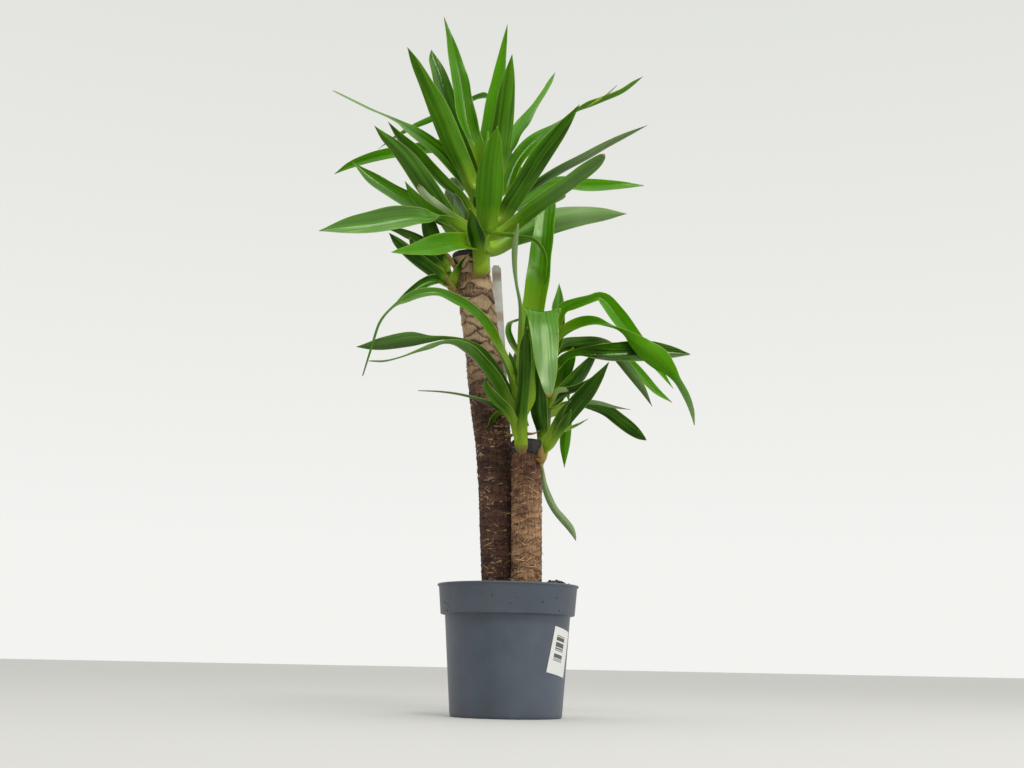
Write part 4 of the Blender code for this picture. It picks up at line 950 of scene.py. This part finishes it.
# %% [markdown]
# ## The canes
# The canes are pieces of an old trunk. Every fallen leaf left a scar, and the scars wind round in
# the spiral that leaves grow in, 137.5 degrees from one to the next. Near the tall cane's top they
# are broad plates like scales. Lower down they crowd into fine rings. Mesh code follows that rule:
# each point looks for its nearest scar, so the relief and the colour marks come from one spiral.

# %% Scars on the bark
GOLDEN_ANGLE = math.radians(137.5)
BARK_MARKS = ("crease", "ridge", "plate", "under", "height_share")
BARK_FOOT = 150.0       # mm, where the plates begin, just above the soil
NEAR_SCARS = 14         # scars that a point looks at on each side of its own height


def bark_skin(table, y, top, plate_height, plate_width, relief_mm, sides, row_step, seed):
    """Rings of bark points with marks for creases, ridges and plates, which become colours."""
    heights = [table[0][0], 130.0] + list(np.arange(138.0, top, row_step)) + [top]
    xs, radii = [(z, x) for z, x, _ in table], [(z, r) for z, _, r in table]
    z = np.array(heights)[:, None]
    angle = np.arange(sides)[None, :] * math.tau / sides
    radius = np.array([eased(radii, h) for h in heights])[:, None]
    tall_share = np.clip((z - BARK_FOOT) / (top - BARK_FOOT), 0, 1)
    high = np.interp(z, *zip(*plate_height))           # height of a plate there, mm
    wide = np.interp(z, *zip(*plate_width))            # width of a plate there, mm
    # turns counts the scars up to each height, so that plates of that size just cover the surface.
    girth, plate_area = math.tau * radius, 0.5 * high * wide
    turns = np.cumsum(np.gradient(z[:, 0]) * girth[:, 0] / plate_area[:, 0])[:, None]
    per_mm = girth / plate_area
    # The scars are not a perfect lattice: old growth and drying have warped them.
    warp = np.array([[(noise.noise((1.7 * math.cos(a), 1.7 * math.sin(a), h / 24 + seed)),
                       noise.noise((2.4 * math.cos(a), 2.4 * math.sin(a), h / 12 - seed))) for a in angle[0]]
                     for h in heights])
    best = np.full((len(heights), sides), 9.0)
    second, above, name = best.copy(), best.copy(), best.copy()
    for k in range(-NEAR_SCARS, NEAR_SCARS + 1):
        scar = np.floor(turns) + k
        away = angle - scar * GOLDEN_ANGLE + 0.15 * np.sin(scar * 7.1 + seed)
        away = (away + math.pi) % math.tau - math.pi
        away = away + warp[..., 0] * 0.22 * wide / radius
        rise = (turns - scar - 0.5 * np.sin(scar * 3.7)) / per_mm + warp[..., 1] * 0.25 * high
        far = np.abs(away * radius) / (wide / 2) + np.abs(rise) / (high / 2)
        far = far + 0.25 * (away * radius / (wide / 2)) ** 2
        nearer = far < best
        second = np.where(nearer, best, np.minimum(second, far))
        above = np.where(nearer, rise / (high / 2), above)
        name = np.where(nearer, np.broadcast_to(scar, name.shape), name)
        best = np.where(nearer, far, best)
    gap = second - best
    crease = np.exp(-(gap / np.clip(0.13 + 0.1 * tall_share + 0.2 * warp[..., 1], 0.07, 0.36)) ** 2)
    # A plate's raised lower edge, which the finish also paints with a highlight.
    ridge = np.exp(-((gap - 0.2) / 0.1) ** 2) * (above < 0.05)
    plate = (np.sin(name * 12.9898 + seed) * 43758.5453) % 1.0
    size = relief_mm[0] + (relief_mm[1] - relief_mm[0]) * tall_share
    step = size * (0.9 - 1.3 * crease - 0.5 * above * (1 - crease) + 0.4 * (plate - 0.5) + 0.5 * ridge)
    points = []
    for i, h in enumerate(heights):
        for j in range(sides):
            a = j * math.tau / sides
            fine = noise.noise((math.cos(a) * 5, math.sin(a) * 5, h * 0.35 + seed))
            grit = noise.noise((math.cos(a) * 16, math.sin(a) * 16, h * 0.9 + seed))
            show = min(1.0, max(0.0, (h - 134) / 10))
            r = radius[i, 0] + show * (step[i, j] + 0.35 * fine + 0.18 * grit)
            points.append((eased(xs, h) + r * math.cos(a), y + r * math.sin(a), h))
    ends = [tuple(reversed(range(sides))), tuple(range(len(points) - sides, len(points)))]
    faces = ends + ring_faces(len(heights), sides)
    under = np.clip((above - 0.1) / 0.7, 0, 1)         # the shaded part below the plate above
    height_share = np.broadcast_to(tall_share, crease.shape)
    marks = dict(zip(BARK_MARKS, [mark.ravel() for mark in (crease, ridge, plate, under, height_share)]))
    return points, faces, marks


# %% [markdown]
# Yucca bark is thin, dry cork. Plates are grey-tan where they are weathered and reddish brown where
# they are fresh, and the creases between them are nearly black. Each plate's raised lower edge gets a
# thin, broken painted highlight.
# Fine fibres run up the cane. The finish reads the marks for the large pattern and adds noise that
# is stretched upwards for the fibres, about 1.6 mm apart, and sideways for growth rings.

# %% Weathered bark
def bark_finish(name, low_dark, low_light, high_dark, high_light, weathered):
    """Cork bark with a pair of browns low down and one high up. weathered says how pale it gets."""
    mat, tree, shader = new_finish(name)
    place = own_place(tree)
    read = read_marks(tree, BARK_MARKS)
    upright = scaled(tree, place, (620.0, 620.0, 60.0))
    fibres = noisy(tree, upright, 1.0, 4.0, 0.65)
    level = scaled(tree, place, (70.0, 70.0, 420.0))
    rings = noisy(tree, level, 1.0, 5.0, 0.7)
    stains = noisy(tree, place, 45.0, 3.0)
    near_top = span(tree, read["height_share"], (0.5, 0.85), interpolation_type="SMOOTHSTEP")
    dark = blend(tree, near_top, low_dark, high_dark)
    light = blend(tree, near_top, low_light, high_light)
    mixed = calc(tree, "ADD", fibres, rings)
    mixed = calc(tree, "MULTIPLY_ADD", stains, 0.8, mixed)
    mixed = calc(tree, "MULTIPLY_ADD", read["plate"], 0.35, mixed)
    mixed = span(tree, mixed, (1.25, 1.9))
    skin = blend(tree, mixed, dark, light)
    # Some plates near the top are weathered to a pale grey-tan, all but their shaded upper part.
    pale = span(tree, read["plate"], (0.2, 0.45), (0, weathered))
    pale = calc(tree, "MULTIPLY", pale, near_top)
    skin = blend(tree, pale, skin, "#b59b78")
    shaded = calc(tree, "MULTIPLY", read["under"], 0.3)
    skin = blend(tree, shaded, skin, low_dark)
    # The fibres tint everything, so that no plate is plain.
    skin = blend(tree, 0.45, skin, fibres, blend_type="OVERLAY")
    creased = calc(tree, "MULTIPLY", read["crease"], 0.85)
    skin = blend(tree, creased, skin, "#23150f")
    # A thin painted highlight along the plates' raised lower edges, broken up by the stains.
    broken = span(tree, stains, (0.45, 0.6), (0.1, 1.0))
    edge_highlight = calc(tree, "MULTIPLY", read["ridge"], broken)
    skin = blend(tree, edge_highlight, skin, "#d0ac84")
    relief = bump(tree, calc(tree, "ADD", fibres, rings), 0.7, 0.0008)
    feed(shader, {"Base Color": skin, "Normal": relief, "Roughness": 0.86, "IOR": 1.4})
    return mat


tall_bark = bark_finish("dry cork bark, tall cane", "#301e18", "#694839", "#4e3628", "#b3936e", 0.75)
short_bark = bark_finish("dry cork bark, short cane", "#513929", "#b08762", "#42291f", "#8a6146", 0.0)

# %% Both canes
# Rows of (z, height of a plate), then rows of (z, width of a plate), in millimetres.
TALL_PLATES = [(150, 6), (380, 8), (460, 17), (573, 21)], [(150, 46), (380, 42), (460, 44), (573, 46)]
SHORT_PLATES = [(150, 8), (322, 11)], [(150, 30), (322, 26)]
BARK_ROW_STEP = 1.3      # mm
canes = {}
for name, table, y, top, plates, relief_mm, sides, mat, seed in [
    ("tall", TALL, TALL_Y, TALL_TOP, TALL_PLATES, (0.5, 1.7), 116, tall_bark, 1.0),
    ("short", SHORT, SHORT_Y, SHORT_TOP, SHORT_PLATES, (0.6, 0.7), 96, short_bark, 4.0),
]:
    points, faces, marks = bark_skin(table, y, top, *plates, relief_mm, sides, BARK_ROW_STEP, seed)
    canes[name] = piece_from("cane_%s_bark" % name, points, faces, [mat], None, marks)
    ride_as(canes[name], "bark", "cane_" + name)

# %% [markdown]
# Where leaves tore off, short ends of dry fibre stand out of the bark, nearly level and slightly
# crossed. They follow the canes' surface, so Geometry Nodes scatter one thin tapered end over it,
# lay it on the surface and turn it by chance.

# %% Dry fibre ends
fibre_end, tree, shader = new_finish("dry fibre ends")
feed(shader, {"Base Color": "#c9a47a", "Roughness": 0.75})
fringe = bpy.data.node_groups.new("fibre ends on bark", "GeometryNodeTree")
fringe_sizes = {"Density": 3000.0, "Lowest": 0.158, "Seed": 11}
given, result = named_inputs(fringe, fringe_sizes)
spot = add(fringe, "GeometryNodeInputPosition")
height = add(fringe, "ShaderNodeSeparateXYZ", {0: spot})
above_soil = add(fringe, "FunctionNodeCompare", {0: height.outputs["Z"], 1: given.outputs["Lowest"]},
                 data_type="FLOAT", operation="GREATER_THAN")
dots = add(fringe, "GeometryNodeDistributePointsOnFaces",
           {"Mesh": given.outputs["Geometry"], "Selection": above_soil,
            "Density": given.outputs["Density"], "Seed": given.outputs["Seed"]})
outward = add(fringe, "FunctionNodeAlignRotationToVector", {"Vector": dots.outputs["Normal"]}, axis="Z")
upward = add(fringe, "FunctionNodeAlignRotationToVector",
             {"Rotation": outward, "Vector": (0.0, 0.0, 1.0)}, axis="X", pivot_axis="Z")
slant = add(fringe, "FunctionNodeRandomValue", {0: (0, -0.05, 0.9), 1: (0, 0.12, 2.2), "Seed": 2},
            data_type="FLOAT_VECTOR")
laid = add(fringe, "FunctionNodeRotateRotation", {"Rotation": upward, "Rotate By": slant},
           rotation_space="LOCAL")
stretch = add(fringe, "FunctionNodeRandomValue", {0: (0.4, 0.6, 0.6), 1: (1.2, 1.5, 1.0), "Seed": 4},
              data_type="FLOAT_VECTOR")
spike = add(fringe, "GeometryNodeMeshCone", {"Vertices": 5, "Radius Top": 0.0001, "Radius Bottom": 0.0006,
                                             "Depth": 0.011})
lying = add(fringe, "GeometryNodeTransform", {"Geometry": spike.outputs["Mesh"],
                                              "Rotation": (0, math.pi / 2, 0)})
ends = add(fringe, "GeometryNodeInstanceOnPoints",
           {"Points": dots.outputs["Points"], "Instance": lying, "Rotation": laid, "Scale": stretch})
real_ends = add(fringe, "GeometryNodeRealizeInstances", {0: ends})
coloured = add(fringe, "GeometryNodeSetMaterial", {"Geometry": real_ends, "Material": fibre_end})
feed(result, {0: coloured})
for name, density in [("tall", 2600.0), ("short", 5200.0)]:
    bark = canes[name].data.copy()
    piece = run_nodes("bark_fibres_" + name, bark, fringe, {**fringe_sizes, "Density": density})
    ride_as(piece, "bark")

# %% [markdown]
# ## The wax
# Growers dip a cane's cut end in dark wax, which keeps it from drying. It stands on the cut as a
# thick lump and runs down a little unevenly, so its lower edge is wavy and its corner is round.

# %% Wax dips
WAX_IOR = 1.44
dip, tree, shader = new_finish("dipped sealing wax")
place = own_place(tree)
dull = noisy(tree, place, 90.0, 4.0)
shade = ramp(tree, dull, (0.35, "#211d1b"), (0.65, "#3a342f"))
soft = span(tree, dull, (0, 1), (0.55, 0.8))
relief = bump(tree, dull, 0.4, 0.0005)
feed(shader, {"Base Color": shade, "Roughness": soft, "Normal": relief, "IOR": WAX_IOR})


def wax_cup(name, table, y, top, skirt, sides=72):
    """A closed lump of wax over a cut end, with a wavy lower edge."""
    radius = table[-1][2]
    inner = radius + 0.4
    rings = []
    for kind, out, rise in [
        ("low", inner, 0.0), ("low", inner + 0.8, 0.3), ("low", inner + 1.0, 1.2),
        ("top", inner + 0.9, -2.2), ("top", inner + 0.5, -0.8), ("top", inner - 0.6, 0.2),
        ("top", inner - 3.0, 0.8), ("top", inner * 0.5, 1.0), ("top", 0.3, 1.05),
    ]:
        ring = []
        for j in range(sides):
            angle = math.tau * j / sides
            sag = 1.8 * noise.noise((2.2 * math.cos(angle), 2.2 * math.sin(angle), top * 0.1))
            z = top - skirt + rise + sag * 1.6 if kind == "low" else top + rise
            x = between([(row[0], row[1]) for row in table], z)
            swell = out + 0.25 * noise.noise((4 * math.cos(angle), 4 * math.sin(angle), z * 0.1))
            ring.append((x + swell * math.cos(angle), y + swell * math.sin(angle), z))
        rings.append(ring)
    cup = piece_from(name, *closed_rings(rings), [dip])
    face_outwards(cup.data)
    return cup


TALL_CUT_RISE, SHORT_CUT_RISE = 8.0, 10.0     # mm, how far the lumps of wax stand above the bark
SKIRT = 17.0                                  # mm, from a lump's top to its lower edge
ride_as(wax_cup("wax_dip_tall", TALL, TALL_Y, TALL_TOP + TALL_CUT_RISE, SKIRT), "wax", "wax_tall")
ride_as(wax_cup("wax_dip_short", SHORT, SHORT_Y, SHORT_TOP + SHORT_CUT_RISE, SKIRT), "wax", "wax_short")

# %% [markdown]
# ## The soil
# Damp peat soil fills the pot to just under its lip. Its top is one lumpy skin with a small heap
# beside the short cane. Geometry Nodes scatter loose crumbs over it, because more than a thousand
# bits that follow a surface are not placed by hand. They are small lumps, half sunk in the skin.

# %% Damp peat
peat, tree, shader = new_finish("damp peat")
place = own_place(tree)
clods = noisy(tree, place, 260.0, 6.0, 0.7)
fibre_bits = add(tree, "ShaderNodeTexVoronoi", {"Vector": place, "Scale": 420.0})
earth = ramp(tree, clods, (0.3, "#1a120e"), (0.55, "#3a2a20"), (0.75, "#5c4534"))
flecks = ramp(tree, fibre_bits.outputs["Color"], (0.86, grey(0)), (0.9, grey(0.7)))
speckled = blend(tree, flecks, earth, "#7d6048")
relief = bump(tree, clods, 0.9, 0.002)
feed(shader, {"Base Color": speckled, "Normal": relief, "Roughness": 0.93})

# %% Soil body
SOIL_BOTTOM, SOIL_TOP = 6.0, 147.0
SOIL_EDGE = BAND_LOW - WALL - 0.3
MOUND = (58.0, -8.0, 17.0, 14.0)     # x, y, spread and height of the heap beside the short cane
SOIL_SIDES = 120


def circle_points(radius):
    """The x and y of the points of one ring."""
    angles = [math.tau * j / SOIL_SIDES for j in range(SOIL_SIDES)]
    return [(radius * math.cos(angle), radius * math.sin(angle)) for angle in angles]


def heap_at(x, y):
    """The heap's height above the soil there."""
    middle_x, middle_y, spread, height = MOUND
    return height * math.exp(-((x - middle_x) ** 2 + (y - middle_y) ** 2) / (2 * spread ** 2))


rings = []
for radius in list(np.arange(2.0, 78.0, 2.0)) + [SOIL_EDGE + 1.0]:
    ring = []
    for x, y in circle_points(radius):
        lump = 2.0 * noise.noise((x / 18, y / 18, 1)) + 1.2 * noise.noise((x / 6, y / 6, 2))
        fade = min(1.0, (SOIL_EDGE + 4 - radius) / 8)
        ring.append((x, y, SOIL_TOP + 0.5 + (lump + heap_at(x, y)) * fade - 3.0 * (1 - fade)))
    rings.append(ring)
for radius, z in [(SOIL_EDGE, SHOULDER_Z + 4.2), (wall_inside(SHOULDER_Z) - 0.3, SHOULDER_Z + 0.4),
                  (wall_inside(SOIL_BOTTOM) - 0.3, SOIL_BOTTOM)]:
    rings.append([(x, y, z) for x, y in circle_points(radius)])
soil = piece_from("soil_bed", *closed_rings(rings), [peat])
ride_as(soil, "soil", "soil")

# %% Crumbs over the soil
scatter = bpy.data.node_groups.new("crumbs on soil", "GeometryNodeTree")
sizes = {"Density": 60000.0, "Smallest": 0.0008, "Largest": 0.0030, "Seed": 5}
given, result = named_inputs(scatter, sizes)
upward = add(scatter, "GeometryNodeInputNormal")
facing = add(scatter, "ShaderNodeSeparateXYZ", {0: upward})
is_top = add(scatter, "FunctionNodeCompare", {0: facing.outputs["Z"], 1: 0.5}, data_type="FLOAT",
             operation="GREATER_THAN")
dots = add(scatter, "GeometryNodeDistributePointsOnFaces",
           {"Mesh": given.outputs["Geometry"], "Selection": is_top, "Density": given.outputs["Density"],
            "Seed": given.outputs["Seed"]})
lump = add(scatter, "GeometryNodeMeshIcoSphere", {"Radius": 1.0, "Subdivisions": 2})
lump_place = add(scatter, "GeometryNodeInputPosition")
lump_noise = noisy(scatter, lump_place, 1.3, 1.0)
lump_push = add(scatter, "ShaderNodeVectorMath", {0: lump_noise.outputs["Color"], 1: (0.5, 0.5, 0.5)},
                operation="SUBTRACT")
rough_lump = add(scatter, "GeometryNodeSetPosition",
                 {"Geometry": lump.outputs["Mesh"], "Offset": lump_push})
many_sizes = add(scatter, "FunctionNodeRandomValue",
                 {2: given.outputs["Smallest"], 3: given.outputs["Largest"], "Seed": 3},
                 data_type="FLOAT")
spin = add(scatter, "FunctionNodeRandomValue",
           {0: (0, 0, 0), 1: (math.tau, math.tau, math.tau), "Seed": 7}, data_type="FLOAT_VECTOR")
crumbs = add(scatter, "GeometryNodeInstanceOnPoints",
             {"Points": dots.outputs["Points"], "Instance": rough_lump, "Rotation": spin,
              "Scale": many_sizes})
real_crumbs = add(scatter, "GeometryNodeRealizeInstances", {0: crumbs})
finished_crumbs = add(scatter, "GeometryNodeSetMaterial", {"Geometry": real_crumbs, "Material": peat})
feed(result, {0: finished_crumbs})
ride_as(run_nodes("soil_crumbs", soil.data.copy(), scatter, sizes), "soil")

# %% [markdown]
# A few chips of bark lie on the heap. Each is a small lump, flattened and roughened on its own, and
# they are so few that a loop places them.

# %% Bark chips
chip_bark, tree, shader = new_finish("loose bark chips")
place = own_place(tree)
splinters = noisy(tree, place, 320.0, 3.0)
chip_tone = ramp(tree, splinters, (0.35, "#2e1f17"), (0.7, "#7a5b43"))
feed(shader, {"Base Color": chip_tone, "Roughness": 0.85})
CHIPS, CHIP_SEED = 26, 12
draw = random.Random(CHIP_SEED)
noise.seed_set(CHIP_SEED)       # or noise_vector would draw its offsets from the clock
work = bmesh.new()
for k in range(CHIPS):
    x, y = MOUND[0] + draw.uniform(-20, 17), MOUND[1] + draw.uniform(-22, 22)
    size = Vector((draw.uniform(2.5, 5.5), draw.uniform(1.8, 3.5), draw.uniform(0.8, 1.8)))
    turn = Matrix.Rotation(draw.uniform(0, math.tau), 4, "Z")
    turn = turn @ Matrix.Rotation(draw.uniform(-0.5, 0.5), 4, "Y")
    spot = Matrix.Translation(Vector((x, y, SOIL_TOP + heap_at(x, y) + 0.6)) * MM)
    laid = spot @ turn @ Matrix.Diagonal((*size, 1))
    lump = bmesh.ops.create_icosphere(work, subdivisions=2, radius=MM, matrix=laid)
    for point in lump["verts"]:
        point.co += Vector(noise.noise_vector(point.co * 400)) * 0.0006
chips = bpy.data.meshes.new("soil_chips")
work.to_mesh(chips)
work.free()
chips.materials.append(chip_bark)
chips.shade_smooth()
chip_piece = bpy.data.objects.new("soil_chips", chips)
bpy.context.collection.objects.link(chip_piece)
ride_as(chip_piece, "soil")

# %% [markdown]
# ## The label strip and the sticker
# Both solids already have the right shape, so they keep their CAD meshes and get new finishes. The
# strip is clear plastic gone cloudy, with two brown bands of dried soil water. The sticker is
# coated paper: plain white with a generic block of bars, and no words or numbers.

# %% Label film and sticker paper
film, tree, shader = new_finish("cloudy polypropylene film")
place = own_place(tree)
cloud = noisy(tree, place, 70.0, 4.0)
up = add(tree, "ShaderNodeSeparateXYZ", {0: place})
bands = ramp(tree, up.outputs["Z"], (0.0, grey(0)), (0.502, grey(0)), (0.504, grey(0.7)),
             (0.513, grey(0.7)), (0.515, grey(0)), (0.556, grey(0)), (0.559, grey(0.65)),
             (0.567, grey(0.65)), (0.57, grey(0)))
film_tone = ramp(tree, cloud, (0.3, "#c4c3bd"), (0.7, "#dfded9"))
banded = blend(tree, bands, film_tone, "#b5977d")
feed(shader, {"Base Color": banded, "Roughness": 0.35, "IOR": POLYPROPYLENE_IOR})

paper, tree, shader = new_finish("coated paper")
STICKER_BEARING, STICKER_LEAN = math.radians(-31.0), math.radians(-10.0)
STICKER_MIDDLE, STICKER_RADIUS = 0.077, 0.0735                # metres, its height and the pot's radius there
BARS_LONG, BARS_WIDE, BAR_PITCH = 0.035, 0.018, 0.0009        # metres
BARS_SPOT = (-0.003, 0.005)                                   # metres from the sticker's middle
LIGHT_SHARE = 0.42                                            # of the bars are left light
spot = add(tree, "ShaderNodeSeparateXYZ", {0: own_place(tree)})
bearing = calc(tree, "ARCTAN2", spot.outputs["Y"], spot.outputs["X"])
across = calc(tree, "MULTIPLY_ADD", bearing, STICKER_RADIUS, -STICKER_BEARING * STICKER_RADIUS)
rise = calc(tree, "SUBTRACT", spot.outputs["Z"], STICKER_MIDDLE)
flat = add(tree, "ShaderNodeCombineXYZ", {0: across, 1: rise})
straight = add(tree, "ShaderNodeVectorRotate", {"Vector": flat, "Angle": -STICKER_LEAN},
               rotation_type="Z_AXIS")
uv = add(tree, "ShaderNodeSeparateXYZ", {0: straight})
number = calc(tree, "DIVIDE", uv.outputs["Y"], BAR_PITCH)
number = calc(tree, "FLOOR", number)
chance = add(tree, "ShaderNodeTexWhiteNoise", {"W": number}, noise_dimensions="1D")
dark_bar = calc(tree, "GREATER_THAN", chance.outputs["Value"], LIGHT_SHARE)
for output, middle, reach in [("X", BARS_SPOT[0], BARS_WIDE / 2), ("Y", BARS_SPOT[1], BARS_LONG / 2)]:
    far = calc(tree, "SUBTRACT", uv.outputs[output], middle)
    far = calc(tree, "ABSOLUTE", far)
    inside = calc(tree, "LESS_THAN", far, reach)
    dark_bar = calc(tree, "MULTIPLY", dark_bar, inside)
printed = blend(tree, dark_bar, "#e3e3df", "#565757")
feed(shader, {"Base Color": printed, "Roughness": 0.5})

for node, mat in [("label_strip", film), ("sticker", paper)]:
    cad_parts[node].data.materials.clear()
    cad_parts[node].data.materials.append(mat)
